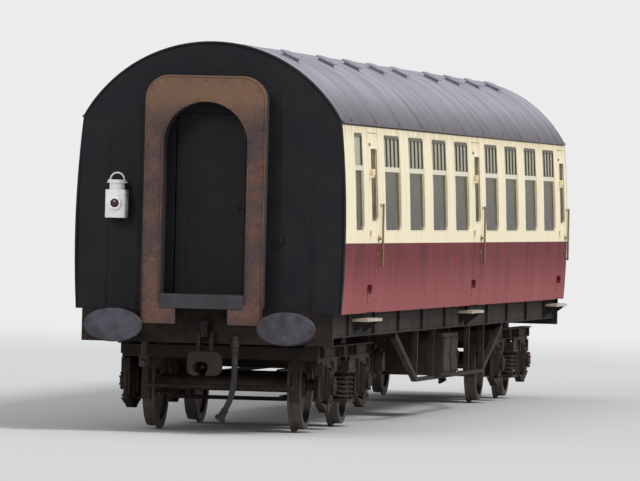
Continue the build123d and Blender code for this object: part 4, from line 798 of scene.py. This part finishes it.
# Bogie springs: coils under the bolster and laminated springs under the axleboxes, in place of the plain ones
springs = {"coilAt": (0.16, 0.98), "foot": railTop + 0.29, "top": railTop + 0.575, "mean": 0.082,
           "wire": 0.018, "turns": 5.2, "seats": ((0.012, 0.108), (0.05, 0.06)), "leaves": 6, "leaf": 0.012,
           "leafGap": 0.0004, "leafHalf": 0.045, "leafSteps": 14, "narrowing": 0.12, "reach": 0.42,
           "step": 0.062, "leafTop": railTop + 0.292, "camber": 0.026, "buckleHalf": 0.055,
           "buckleY": (-0.052, 0.047), "buckleLap": 0.012, "buckleTop": railTop + 0.327, "boltReach": 0.385,
           "bolt": 0.016, "boltLap": 0.012, "bracketFoot": railTop + 0.56, "rubberLap": 0.002,
           "rubber": ((0, 0.012), (0.004, 0.03), (0.03, 0.038), (0.034, 0.034), (0.034, 0.016)),
           "nutsZ": (railTop + 0.337, railTop + 0.546), "nut": 0.027, "nutHeight": 0.022}


def bentLeaf(shape, x, y, half, radius, middle):  # bent round a centre above it
    thick = springs["leaf"] - 2 * springs["leafGap"]
    loops = []
    for i in range(springs["leafSteps"] + 1):
        out = -half + 2 * half * i / springs["leafSteps"]
        wide = springs["leafHalf"] * (1 - springs["narrowing"] * (abs(out) / half) ** 6)
        loops.append([(x + out, y + side * wide, middle - sqrt((radius + depth) ** 2 - out * out))
                      for depth, side in ((0, -1), (0, 1), (thick, 1), (thick, -1))])
    shape.skin(loops)


def makeSprings(word, end):
    s = springs
    centre = end * bogie["centre"]
    radius = (s["reach"] ** 2 + s["camber"] ** 2) / (2 * s["camber"])
    middle = s["leafTop"] - s["camber"] + radius
    buckleFoot = s["leafTop"] - s["camber"] - s["leaves"] * s["leaf"] - s["buckleLap"]
    shape, coilSpots, nutSpots = Shape(), [], []
    for side, hand in [(side, hand) for side in sides.values() for hand in (-1, 1)]:
        x, y = centre + hand * s["coilAt"][0], side * s["coilAt"][1]
        coilSpots.append(((x, y, s["foot"] + s["wire"]), up))
        for tall, wide in s["seats"]:
            for low in (s["foot"], s["top"] - tall):
                shape.rod((x, y, low), tall, wide, up, steps=24)
        x, y = centre + hand * bogie["axleReach"], side * bogie["frameY"]
        for i in range(s["leaves"]):
            bentLeaf(shape, x, y, s["reach"] - i * s["step"], radius + i * s["leaf"] + s["leafGap"], middle)
        shape.block((x - s["buckleHalf"], y + s["buckleY"][0], buckleFoot),
                    (x + s["buckleHalf"], y + s["buckleY"][1], s["buckleTop"]), bevel=0.006)
        for bolt in (x - s["boltReach"], x + s["boltReach"]):
            shape.rod((bolt, y, s["leafTop"] - s["boltLap"]), s["bracketFoot"] - s["leafTop"] + s["boltLap"],
                      s["bolt"], up, steps=14)
            shape.turned(s["rubber"], (bolt, y, s["leafTop"] - s["rubberLap"]), up, steps=18)
            nutSpots += [((bolt, y, z), up) for z in s["nutsZ"]]
    bodyName = f"bogie_{word}"
    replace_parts(addPiece(f"spring_irons_{word}", shape, bodyName, "frame_black"), f"bogie_{word}_springs")
    coils.make(f"coil_springs_{word}", coilSpots, bodyName, "frame_black", smooth=True, Radius=s["mean"],
               Wire=s["wire"], Turns=s["turns"], Height=s["top"] - s["foot"] - 2 * s["wire"])
    bolts.make(f"spring_nuts_{word}", nutSpots, bodyName, "frame_black", Radius=s["nut"],
               Height=s["nutHeight"], Sides=6)


atBothEnds("springs made", makeSprings)

# Seats: padded cushions and backs on wooden ends and plinths, back to back between the bays
seat = {"aisle": 0.27, "cushion": (0.44, 0.155), "cushionAt": (0.372, 0.362), "back": (0.085, 0.68),
        "backAt": (0.108, 0.79), "lean": 8.0, "plinth": (0.43, 0.262), "board": (0.04, 0.26, 1.12),
        "boardSet": (0.03, 0.01), "rounding": 0.22, "voxel": 0.05, "pressure": 4.0, "cap": 0.02, "frames": 20,
        "fill": 0.7, "shrink": 0.92, "endThick": 0.022, "partition": 0.035,
        "profile": ((0.002, 0.0), (0.43, 0.0), (0.43, 0.27), (0.56, 0.30), (0.56, 0.40), (0.4, 0.62),
                    (0.21, 0.64), (0.12, 1.08), (0.075, 1.14), (0.002, 1.14))}


def softPad(name, size):  # one pad round the origin, swollen by cloth pressure
    bm = bmesh.new()
    made = bmesh.ops.create_cube(bm, size=1.0)
    for v in made["verts"]:
        v.co = [c * s * seat["shrink"] for c, s in zip(v.co, size)]
    bmesh.ops.bevel(bm, geom=bm.edges[:], offset=min(size) * seat["rounding"], segments=3, profile=0.6,
                    affect="EDGES")
    mesh = bpy.data.meshes.new(name)
    bm.to_mesh(mesh)
    bm.free()
    obj = bpy.data.objects.new(name, mesh)
    scene.collection.objects.link(obj)
    remesh = obj.modifiers.new("remesh", "REMESH")
    remesh.mode, remesh.voxel_size = "VOXEL", seat["voxel"]
    bakeModifiers(obj)
    rest = [v.co.copy() for v in obj.data.vertices]
    cloth = obj.modifiers.new("swell", "CLOTH")
    cloth.settings.use_pressure = True
    cloth.settings.uniform_pressure_force = seat["pressure"]
    cloth.settings.effector_weights.gravity = 0.0
    cloth.point_cache.frame_start, cloth.point_cache.frame_end = 1, seat["frames"]
    for i in range(1, seat["frames"] + 1):
        scene.frame_set(i)
    bakeModifiers(obj)
    scene.frame_set(1)
    for v, start in zip(obj.data.vertices, rest):
        move = v.co - start
        v.co = start + move * min(1.0, seat["cap"] / max(move.length, 1e-9))
    smooth = obj.modifiers.new("smooth", "SUBSURF")
    smooth.levels = smooth.render_levels = 1
    pad = bakeModifiers(obj).data
    bpy.data.objects.remove(obj)
    return pad


def seatPlaces():  # back line and facing of each double seat in one row
    for start in layout["saloons"]:
        for i in range(layout["bays"] + 1):
            x = station(start + layout["bay"] * i)
            if i > 0:
                yield x - (seat["partition"] if i == layout["bays"] else 0), -1
            if i < layout["bays"]:
                yield x, 1


def makeSeats():
    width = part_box("seats")[1][1] - seat["aisle"]
    half = width / 2
    cushions, backs, frames = Shape(), Shape(), Shape()
    cushion = softPad("cushion_pad", (seat["cushion"][0], half, seat["cushion"][1]))
    back = softPad("back_pad", (seat["back"][0], half, seat["back"][1]))
    pads = ((cushions, cushion, seat["cushionAt"], 0.0), (backs, back, seat["backAt"], -seat["lean"]))
    for side, (x, facing) in [(side, place) for side in sides.values() for place in seatPlaces()]:
        turn = Matrix.Rotation(0 if facing > 0 else pi, 4, "Z")
        for y in [side * (seat["aisle"] + half * (k + 0.5)) for k in (0, 1)]:
            for shape, pad, (out, rise), lean in pads:
                place = (Matrix.Translation((x, y, floorTop)) @ turn @ Matrix.Translation((out, 0, rise))
                         @ Matrix.Rotation(radians(lean), 4, "Y"))
                shape.add([place @ v.co for v in pad.vertices], [list(p.vertices) for p in pad.polygons])
        y0, y1 = [side * (seat["aisle"] + out) for out in (seat["boardSet"][0], width - seat["boardSet"][1])]
        deep, tall = seat["plinth"]
        thick, low, high = seat["board"]
        frames.block((x, y0, floorTop), (x + facing * deep, y1, floorTop + tall), bevel=0.004)
        frames.block((x, y0, floorTop + low), (x + facing * thick, y1, floorTop + high), bevel=0.006)
        for y in (seat["aisle"], seat["aisle"] + width - seat["endThick"]):
            frames.skin([[(x + facing * out, side * face, floorTop + rise) for out, rise in seat["profile"]]
                         for face in (y, y + seat["endThick"])])
    for name, shape in (("seat_cushions", cushions), ("seat_backs", backs)):
        obj = addPiece(name, meshFrom(name, shape.verts, shape.faces, smooth=True), "coach", "moquette")
        if name == "seat_cushions":
            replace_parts(obj, "seats")
    addPiece("seat_ends", frames, "coach", "veneer")


makeSeats()
print("seats made")

# Windows: a bead round each opening of the body and doors
bead = {"radius": 0.006, "doorRadius": 0.008, "proud": 0.0015, "corner": 6, "sides": 8, "grow": 0.004}


def openingRing(shape, x, side, width, opening, radius, out):
    grow, height = bead["grow"], opening["height"]
    r = opening["corner"] + grow
    path = []
    for quarter, (h, v) in enumerate(((1, 1), (-1, 1), (-1, -1), (1, -1))):
        for i in range(bead["corner"] + 1):
            a = pi / 2 * (quarter + i / bead["corner"])
            z = opening["foot"] + height / 2 + v * (height / 2 + grow - r) + r * sin(a)
            path.append((x + h * (width / 2 + grow - r) + r * cos(a), side * (sideY(z) + out), z))
    shape.tube(path, radius, bead["sides"], closed=True)


def makeBeads():
    rings = Shape()
    panes = [(x, window["width"]) for x in bayCentres()]
    panes.append((station(layout["lavatoryWindow"]), window["lavatoryWidth"]))
    for side, (x, width) in [(side, pane) for side in sides.values() for pane in panes]:
        openingRing(rings, x, side, width, window, bead["radius"], bead["proud"] - bead["radius"] / 2)
    addPiece("window_beads", rings, "coach", "crimson_cream", smooth=True)
    for ending, side, x in sideDoors():
        ring = Shape()
        openingRing(ring, x, side, droplight["width"], droplight, bead["doorRadius"], 0.0)
        addPiece(f"droplight_bead_{ending}", ring, f"side_door_{ending}", "crimson_cream", smooth=True)


makeBeads()
print("window beads made")

# Ends: rolled rims and bolts on the face plates, panes in the end doors, seams and a rim on the end walls
plateTrim = {"rim": 0.009, "rimFoot": 0.21, "bolt": 0.011, "boltHeight": 0.018, "boltStep": 0.19,
             "boltLine": (0.04, 0.05), "innerLine": (0.028, 0.3)}  # distance from the edge, foot
endTrim = {"seamY": (0.72, 1.04), "seamFoot": railTop + 1.24, "seamHalf": 0.014, "seamProud": 0.004,
           "seamSunk": 0.002, "roofGap": 0.05, "rivetFrom": 0.05, "rivetStep": 0.14, "rivet": 0.006,
           "sweepFrom": 0.7, "sweep": 0.035, "sweepShort": 0.03, "rim": 0.016, "rimSet": 0.014,
           "rimSunk": 0.006, "rimShort": 0.012, "rimSteps": 40, "legSunk": 0.012, "legFoot": 0.01,
           "legSteps": 12}
endPane = {"x": 9.742, "half": 0.205, "foot": railTop + 2.335, "top": railTop + 2.985, "frame": 0.02,
           "paneDepth": (0.0065, -0.002), "frameDepth": (0.0075, 0.003), "knobAt": (0.285, railTop + 2.25),
           "knob": ((-0.004, 0.034), (0.003, 0.034), (0.006, 0.03))}


def plateLine(inset, foot):  # round the face plate, inside its edge
    g = gangway
    return archLine(g["half"] - inset, g["foot"] + foot, g["top"] - inset, g["corner"] - inset, 2, 10, 2)


def doorwayLine(out, foot):  # round the gangway's opening
    half = gangway["openHalf"] + out
    return archLine(half, gangway["foot"] + foot, gangway["openTop"] + out, half - 0.001, 2, 18, 2)


def spread(line, step):  # evenly spaced points along a line
    path = [Vector(p) for p in line]
    total = pathLength(path)
    count = max(2, round(total / step))
    return [alongPath(path, total * k / count)[0] for k in range(count + 1)]


def makePlateTrim(word, end):
    p = plateTrim
    x = end * gangway["front"]
    shape = Shape()
    for line in (plateLine(p["rim"], p["rim"]), doorwayLine(p["rim"], p["rimFoot"])):
        shape.tube([(x, y, z) for y, z in line], p["rim"])
    addPiece(f"plate_rims_{word}", shape, "coach", "gangway_rust", smooth=True)
    spots = [((x, y, z), (end, 0, 0)) for line in (plateLine(*p["boltLine"]), doorwayLine(*p["innerLine"]))
             for y, z in spread(line, p["boltStep"])]
    bolts.make(f"plate_bolts_{word}", spots, "coach", "gangway_rust", Radius=p["bolt"],
               Height=p["boltHeight"], Sides=6)


def endX(y):  # distance of the outer face of an end wall from the middle of the coach
    t = endTrim
    swept = body["eavesY"] - t["sweepShort"] - t["sweepFrom"]
    return bodyHalf - max(0.0, abs(y) - t["sweepFrom"]) * t["sweep"] / swept


def makeEndTrim(word, end):
    t = endTrim
    shape, spots = Shape(), []
    for y in [side * y for y in t["seamY"] for side in (-1, 1)]:
        top = roofCentreZ + sqrt((body["roofRadius"] - t["roofGap"]) ** 2 - y * y)
        x = end * endX(y)
        face = x + end * t["seamProud"]
        shape.block((x - end * t["seamSunk"], y - t["seamHalf"], t["seamFoot"]),
                    (face, y + t["seamHalf"], top), bevel=0.0015)
        spots += [((face, y, t["seamFoot"] + t["rivetFrom"] + t["rivetStep"] * k), (end, 0, 0))
                  for k in range(int((top - t["seamFoot"]) / t["rivetStep"]))]
    rim, r = [], body["roofRadius"] - t["rimSet"]
    edge = atan2(body["eavesY"] - t["rimShort"], eavesZ - roofCentreZ)
    for i in range(t["rimSteps"] + 1):  # a rolled rim along the roof's edge
        a = edge * (2 * i / t["rimSteps"] - 1)
        rim.append((end * (endX(r * sin(a)) - t["rimSunk"]), r * sin(a), roofCentreZ + r * cos(a)))
    for i in range(t["legSteps"]):  # and down each side
        z = eavesZ - (eavesZ - body["footZ"] - t["legFoot"]) * (i + 1) / t["legSteps"]
        y = sideY(z) - t["rim"]
        x = end * (endX(y) - t["legSunk"])
        rim = [(x, -y, z), *rim, (x, y, z)]
    shape.tube(rim, t["rim"])
    addPiece(f"end_seams_{word}", shape, "coach", "end_black", smooth=True)
    rivets.make(f"end_rivets_{word}", spots, "coach", "end_black", smooth=True, Radius=t["rivet"])


def makeEndPane(word, end):
    p = endPane
    x, half, foot, top = end * p["x"], p["half"], p["foot"], p["top"]
    wide = half + p["frame"]
    back, front = p["paneDepth"]
    pane = Shape().block((x - end * back, -half, foot), (x + end * front, half, top), bevel=0.001)
    trim = Shape().turned(p["knob"], (x, end * p["knobAt"][0], p["knobAt"][1]), (end, 0, 0), steps=20)
    back, front = p["frameDepth"]
    for low, high in (((-wide, foot - p["frame"]), (wide, foot)), ((-wide, top), (wide, top + p["frame"])),
                      ((-wide, foot), (-half, top)), ((half, foot), (wide, top))):
        trim.block((x - end * back, *low), (x + end * front, *high), bevel=0.0015)
    addPiece(f"end_door_pane_{word}", pane, f"gangway_door_{word}", "clear_glass")
    addPiece(f"end_door_trim_{word}", trim, f"gangway_door_{word}", "end_black")


atBothEnds("ends dressed", makePlateTrim, makeEndTrim, makeEndPane)

# Bogies: rivets and ribs on the side plates, axlebox lids with their bolts, and pull rods
bogieTrim = {"plateY": 1.002, "rowStep": 0.12, "rowHalf": 1.79, "rows": (railTop + 0.752, railTop + 0.836),
             "panelZ": railTop + 0.632, "panelStep": 0.09, "panelFrom": 0.56, "panelTo": 1.52, "hornGap": 0.2,
             "rivet": 0.011, "bolt": 0.012, "boltHeight": 0.022, "boltCircle": 0.076, "lidBolts": 6,
             "boltOut": 0.012, "ribAt": (0.3, 0.62, 1.7), "ribHalf": 0.006, "ribY": (1.0, 1.045),
             "ribZ": (railTop + 0.74, railTop + 0.848), "lidY": 1.09,
             "lid": ((-0.004, 0.098), (0.006, 0.098), (0.009, 0.092), (0.012, 0.058), (0.02, 0.05),
                     (0.023, 0.02)),
             "hornNuts": ((0.158, 1.055, railTop + 0.309), (0.12, 1.04, railTop + 0.62)), "lugHalf": 0.05,
             "lugY": (1.055, 1.072), "lugZ": (0.1, 0.146), "rodY": 0.62, "rod": 0.014,
             "rods": ((-1.83, 1.02, railTop + 0.345), (0.81, 1.02, railTop + 0.345),
                      (-0.75, 1.5, railTop + 0.395))}


def makeBogieTrim(word, end):
    t = bogieTrim
    centre = end * bogie["centre"]
    rivetSpots, boltSpots, shape = [], [], Shape()
    for side in sides.values():
        y, way = side * t["plateY"], (0, side, 0)
        rivetSpots += [((centre - t["rowHalf"] + t["rowStep"] * i, y, z), way) for z in t["rows"]
                       for i in range(int(2 * t["rowHalf"] / t["rowStep"]) + 1)]
        for hand in (-1, 1):
            x = t["panelFrom"]
            while x < t["panelTo"]:
                if abs(x - bogie["axleReach"]) > t["hornGap"]:
                    rivetSpots.append(((centre + hand * x, y, t["panelZ"]), way))
                x += t["panelStep"]
            for rib in [centre + hand * at for at in t["ribAt"]]:
                shape.block((rib - t["ribHalf"], side * t["ribY"][0], t["ribZ"][0]),
                            (rib + t["ribHalf"], side * t["ribY"][1], t["ribZ"][1]), bevel=0.002)
            axle, axleZ = centre + hand * bogie["axleReach"], bogie["axleZ"]
            shape.turned(t["lid"], (axle, side * t["lidY"], axleZ), way, steps=36)
            lidFace = (axle, side * (t["lidY"] + t["boltOut"]), axleZ)
            boltSpots += circleSpots(lidFace, t["boltCircle"], t["lidBolts"], way, up)
            boltSpots += [((axle + k * out, side * reach, z), way) for k in (-1, 1)
                          for out, reach, z in t["hornNuts"]]
            shape.block((axle - t["lugHalf"], side * t["lugY"][0], axleZ + t["lugZ"][0]),
                        (axle + t["lugHalf"], side * t["lugY"][1], axleZ + t["lugZ"][1]), bevel=0.004)
        for start, length, z in t["rods"]:  # pull rods of the brakes
            shape.rod((centre + start, side * t["rodY"], z), length, t["rod"], along, steps=10)
    bodyName = f"bogie_{word}"
    addPiece(f"bogie_irons_{word}", shape, bodyName, "cast_black")
    rivets.make(f"bogie_rivets_{word}", rivetSpots, bodyName, "frame_black", smooth=True, Radius=t["rivet"])
    bolts.make(f"bogie_bolts_{word}", boltSpots, bodyName, "cast_black", Radius=t["bolt"],
               Height=t["boltHeight"], Sides=6)


atBothEnds("bogies dressed", makeBogieTrim)

# Underframe: rivets and ribs on the solebars, pipes and pull rods, battery box fittings and step treads
solebar = {"y": 1.232, "rows": (railTop + 0.985, railTop + 1.17), "step": 0.24, "reach": 9.7,
           "rivet": 0.012, "headRows": (railTop + 0.91, railTop + 1.17), "headStep": 0.16, "headReach": 7,
           "headFree": (4, 5, 6), "ribFrom": -8.6, "ribStep": 1.905, "ribs": 10, "ribHalf": 0.008,
           "ribY": (1.225, 1.262), "ribZ": (railTop + 0.97, railTop + 1.19)}
pipe = {"z": railTop + 0.965, "runs": ((0.43, 0.024), (-0.43, 0.0192)), "clips": 13, "clipFrom": 0.8,
        "clipStep": 1.48, "clipLength": 0.05, "clipProud": 0.007, "crankAt": 2.25, "crankHalf": (0.02, 0.03),
        "crankZ": (railTop + 0.36, railTop + 0.56), "rod": (2.75, 0.018, railTop + 0.52), "shaftAt": 0.62,
        "shaft": (0.5, 0.026, railTop + 0.6), "hangerY": 0.16, "hangerHalf": (0.03, 0.008),
        "hangerZ": (railTop + 0.56, railTop + 1.02)}
battery = {"end": 1.43, "length": 1.3, "y": 1.302, "foot": railTop + 0.44, "top": railTop + 0.9,
           "margin": 0.04, "door": 0.65, "bolts": 4, "boltFrom": 0.03, "boltStep": 0.17, "boltIn": 0.045}
underBolts = {"radius": 0.014, "height": 0.026, "cylinder": (2.25, railTop + 0.844), "cylinderCircle": 0.298,
              "cylinderBolts": 12, "buffer": (0.87, railTop + 1.05), "bufferHalf": (0.145, 0.125),
              "bufferOut": 0.022}
tread = {"half": 0.54, "from": 1.24, "width": 0.022, "top": railTop + 1.14, "proud": 0.003, "sunk": 0.001,
         "pitch": 0.0305, "count": 5, "boardShort": 0.64}


def makeSolebars():
    s = solebar
    spots = [((-s["reach"] + s["step"] * i, side * s["y"], z), (0, side, 0)) for side in sides.values()
             for z in s["rows"] for i in range(int(2 * s["reach"] / s["step"]) + 1)]
    spots += [((end * bodyHalf, k * s["headStep"], z), (end, 0, 0)) for end in ends.values()
              for k in range(-s["headReach"], s["headReach"] + 1) if abs(k) not in s["headFree"]
              for z in s["headRows"]]
    rivets.make("solebar_rivets", spots, "coach", "frame_black", smooth=True, Radius=s["rivet"])
    for word, side in sides.items():
        rib = Shape().block((s["ribFrom"] - s["ribHalf"], side * s["ribY"][0], s["ribZ"][0]),
                            (s["ribFrom"] + s["ribHalf"], side * s["ribY"][1], s["ribZ"][1]), bevel=0.003)
        rows.make(f"solebar_ribs_{word}", rib, "coach", "frame_black", Count=s["ribs"],
                  Step=(s["ribStep"], 0.0, 0.0))


def makePipes():
    p, reach = pipe, solebar["reach"]
    shape = Shape()
    for y, radius in p["runs"]:
        shape.rod((-reach, y, p["z"]), 2 * reach, radius, along)
        for i in range(p["clips"]):
            shape.rod((-reach + p["clipFrom"] + i * p["clipStep"], y, p["z"]), p["clipLength"],
                      radius + p["clipProud"], along)
    for end in ends.values():
        x = end * p["crankAt"]
        length, radius, z = p["rod"]
        shape.rod((x, 0, z), length, radius, (end, 0, 0))
        deep, wide = p["crankHalf"]
        shape.block((x - deep, -wide, p["crankZ"][0]), (x + deep, wide, p["crankZ"][1]), bevel=0.006)
        x += end * p["shaftAt"]
        deep, wide = p["hangerHalf"]
        for y in (-p["hangerY"], p["hangerY"]):  # hangers of the brake shaft
            shape.block((x - deep, y - wide, p["hangerZ"][0]), (x + deep, y + wide, p["hangerZ"][1]),
                        bevel=0.003)
        length, radius, z = p["shaft"]
        shape.rod((x, -length / 2, z), length, radius, sideways, steps=14)
    addPiece("brake_pipes", shape, "coach", "pipe_iron")


def makeBatteryFittings():
    b, u = battery, underBolts
    foot, top = b["foot"], b["top"]
    fittings = (  # from, to along the door; low, high; sunk, proud; bevel
        (0.02, 0.2, foot + 0.078, foot + 0.102, 0.0, 0.006, 0.002),  # strap hinges
        (0.02, 0.2, top - 0.102, top - 0.078, 0.0, 0.006, 0.002),
        (0.49, 0.53, foot + 0.19, foot + 0.27, 0.0, 0.016, 0.004),  # latch
        (0.0, 0.57, foot + 0.035, foot + 0.055, 0.01, 0.004, 0.002),  # lips
        (0.0, 0.57, top - 0.055, top - 0.035, 0.01, 0.004, 0.002))
    shape, spots = Shape(), []
    for side, k in [(side, k) for side in sides.values() for k in (0, 1)]:
        left = min(side * b["end"], side * (b["end"] - b["length"])) + b["margin"] + k * b["door"]
        for start, stop, low, high, sunk, proud, bevel in fittings:
            shape.block((left + start, side * (b["y"] - sunk), low),
                        (left + stop, side * (b["y"] + proud), high), bevel)
        spots += [((left + b["boltFrom"] + b["boltStep"] * i, side * b["y"], z), (0, side, 0))
                  for i in range(b["bolts"]) for z in (foot + b["boltIn"], top - b["boltIn"])]
    for end in ends.values():  # the brake cylinders' rims and the buffers' bases
        x, z = u["cylinder"]
        spots += circleSpots((end * x, 0, z), u["cylinderCircle"], u["cylinderBolts"], -up, sideways)
        y, z = u["buffer"]
        wide, tall = u["bufferHalf"]
        spots += [((end * (bodyHalf + u["bufferOut"]), side * y + h * wide, z + v * tall), (end, 0, 0))
                  for side in sides.values() for h in (-1, 1) for v in (-1, 1)]
    addPiece("battery_fittings", shape, "coach", "cast_black")
    bolts.make("underframe_bolts", spots, "coach", "cast_black", Radius=u["radius"], Height=u["height"],
               Sides=6)


def makeTreads():
    t = tread
    furthest = bodyHalf - t["boardShort"]
    for ending, side, x in sideDoors():
        x = max(-furthest, min(furthest, x))
        strip = Shape().block((x - t["half"], side * t["from"], t["top"] - t["sunk"]),
                              (x + t["half"], side * (t["from"] + t["width"]), t["top"] + t["proud"]),
                              bevel=0.0012)
        rows.make(f"step_treads_{ending}", strip, "coach", "step_wood", Count=t["count"],
                  Step=(0.0, side * t["pitch"], 0.0))


makeSolebars()
makePipes()
makeBatteryFittings()
makeTreads()
print("underframe dressed")

# Roof seams and gutters, door furniture, rail feet, the tail lamp's trim and lens, rack bars and table edges
roofTrim = {"seams": 11, "from": -9.0, "step": 1.8, "half": 0.016, "proud": 0.0025, "sunk": 0.002,
            "edge": 1.06, "slices": 36, "gutterZ": railTop + 3.118, "gutterOut": 0.004,
            "gutterRadius": 0.013, "gutterHalf": 9.74}
doorTrim = {"leverFromEdge": 0.07, "stopFromMiddle": 0.3, "railAt": 0.43, "roseZ": railTop + 1.96,
            "lockZ": railTop + 1.8, "stopsZ": (railTop + 1.32, railTop + 2.92),
            "feetZ": (railTop + 1.7, railTop + 2.3),
            "foot": ((-0.004, 0.022), (0.005, 0.022), (0.009, 0.013)),
            "rose": ((-0.003, 0.034), (0.004, 0.034), (0.008, 0.026), (0.01, 0.016)),
            "lock": ((-0.003, 0.02), (0.004, 0.02), (0.007, 0.012)),
            "stop": ((-0.004, 0.016), (0.012, 0.016), (0.018, 0.011))}
lamp = {"y": 0.92, "foot": railTop + 2.115, "height": 0.28, "half": 0.105, "hood": 0.04,
        "lensZ": railTop + 2.26, "rim": ((-0.003, 0.056), (0.002, 0.056), (0.002, 0.046), (-0.003, 0.046)),
        "cap": ((-0.004, 0.101), (0.002, 0.108), (0.008, 0.1)), "capUp": 0.07, "base": (0.075, 0.008, 0.02),
        "baseDepth": (0.003, 0.02), "vent": (0.03, 0.06, 0.2), "ventDepth": (-0.004, 0.006),
        "lens": ((0.0, 0.004), (0.002, 0.02), (0.005, 0.034), (0.009, 0.043), (0.0125, 0.043)),
        "lensIn": 0.001}
racks = {"z": railTop + 3.062, "depth": (0.016, 0.29), "length": 7.5, "step": 0.055, "bar": 0.0035,
         "set": 0.03}
tableEdge = {"half": 0.284, "y": (0.336, 0.342), "z": (floorTop + 0.694, floorTop + 0.72)}


def makeRoofTrim():
    t = roofTrim
    low, high = body["roofRadius"] - t["sunk"], body["roofRadius"] + t["proud"]
    angles = [t["edge"] * (2 * i / t["slices"] - 1) for i in range(t["slices"] + 1)]
    section = ((-t["half"], low), (-t["half"], high), (t["half"], high), (t["half"], low))
    seam = Shape().skin([[(t["from"] + x, r * sin(a), roofCentreZ + r * cos(a)) for x, r in section]
                         for a in angles])
    rows.make("roof_seams", seam, "coach", "roof_grey", Count=t["seams"], Step=(t["step"], 0.0, 0.0))
    gutters = Shape()
    for side in sides.values():
        y = side * (sideY(t["gutterZ"]) + t["gutterOut"])
        gutters.rod((-t["gutterHalf"], y, t["gutterZ"]), 2 * t["gutterHalf"], t["gutterRadius"], along,
                    steps=10)
    addPiece("gutters", gutters, "coach", "roof_grey", smooth=True)


def makeDoorTrim():
    t = doorTrim
    feet = Shape()
    for ending, side, x in sideDoors():
        shape = Shape()
        lever = x - side * (layout["doorWidth"] / 2 - t["leverFromEdge"])
        bosses = [(shape, "rose", lever, t["roseZ"], 24), (shape, "lock", lever, t["lockZ"], 20)]
        bosses += [(shape, "stop", x + side * t["stopFromMiddle"], z, 16) for z in t["stopsZ"]]
        bosses += [(feet, "foot", x - side * t["railAt"], z, 18) for z in t["feetZ"]]
        for into, form, at, z, steps in bosses:
            into.turned(t[form], (at, side * sideY(z), z), (0, side, 0), steps)
        addPiece(f"door_furniture_{ending}", shape, f"side_door_{ending}", "cast_black", finish="door_brass")
    addPiece("rail_feet", feet, "coach", "cast_black", finish="door_brass")


def makeLamp():
    t = lamp
    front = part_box("tail_lamp")[0][0]  # the end of the lens hood
    back = front + t["hood"]
    middle = back + t["half"]
    y, foot = t["y"], t["foot"]
    metal = Shape().turned(t["rim"], (front, y, t["lensZ"]), along, steps=36, ring=True)
    metal.turned(t["cap"], (middle, y, foot + t["height"] + t["capUp"]), up, steps=36)
    wide, low, high = t["base"]
    metal.block((back - t["baseDepth"][0], y - wide, foot + low),
                (back + t["baseDepth"][1], y + wide, foot + high), bevel=0.002)
    wide, low, high = t["vent"]
    for sideWall in (y - t["half"], y + t["half"]):  # vents on its sides
        metal.block((middle - wide, sideWall + t["ventDepth"][0], foot + low),
                    (middle + wide, sideWall + t["ventDepth"][1], foot + high), bevel=0.003)
    addPiece("lamp_trim", metal, "coach", "lamp_white")
    lens = Shape().turned(t["lens"], (front + t["lensIn"], y, t["lensZ"]), along, steps=32)
    addPiece("lamp_lens", lens, "coach", "lamp_white", smooth=True, finish="lens_red")


def makeRacks():
    r, e = racks, tableEdge
    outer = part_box("luggage_racks")[1][1]
    for word, side in sides.items():
        for i, start in enumerate(layout["saloons"], 1):
            x = station(start + r["set"])
            bar = Shape().block((x - r["bar"], side * (outer - r["depth"][0]), r["z"] - r["bar"]),
                                (x + r["bar"], side * (outer - r["depth"][1]), r["z"] + r["bar"]))
            rows.make(f"rack_bars_{word}_{i}", bar, "coach", "rack_steel", Count=int(r["length"] / r["step"]),
                      Step=(r["step"], 0.0, 0.0))
    edges = Shape()
    for side, x in [(side, x) for side in sides.values() for x in bayCentres()]:
        edges.block((x - e["half"], side * e["y"][0], e["z"][0]),
                    (x + e["half"], side * e["y"][1], e["z"][1]), bevel=0.002)
    addPiece("table_edges", edges, "coach", "rack_steel")


makeRoofTrim()
makeDoorTrim()
makeLamp()
makeRacks()
print("roof, doors, lamp and racks dressed")
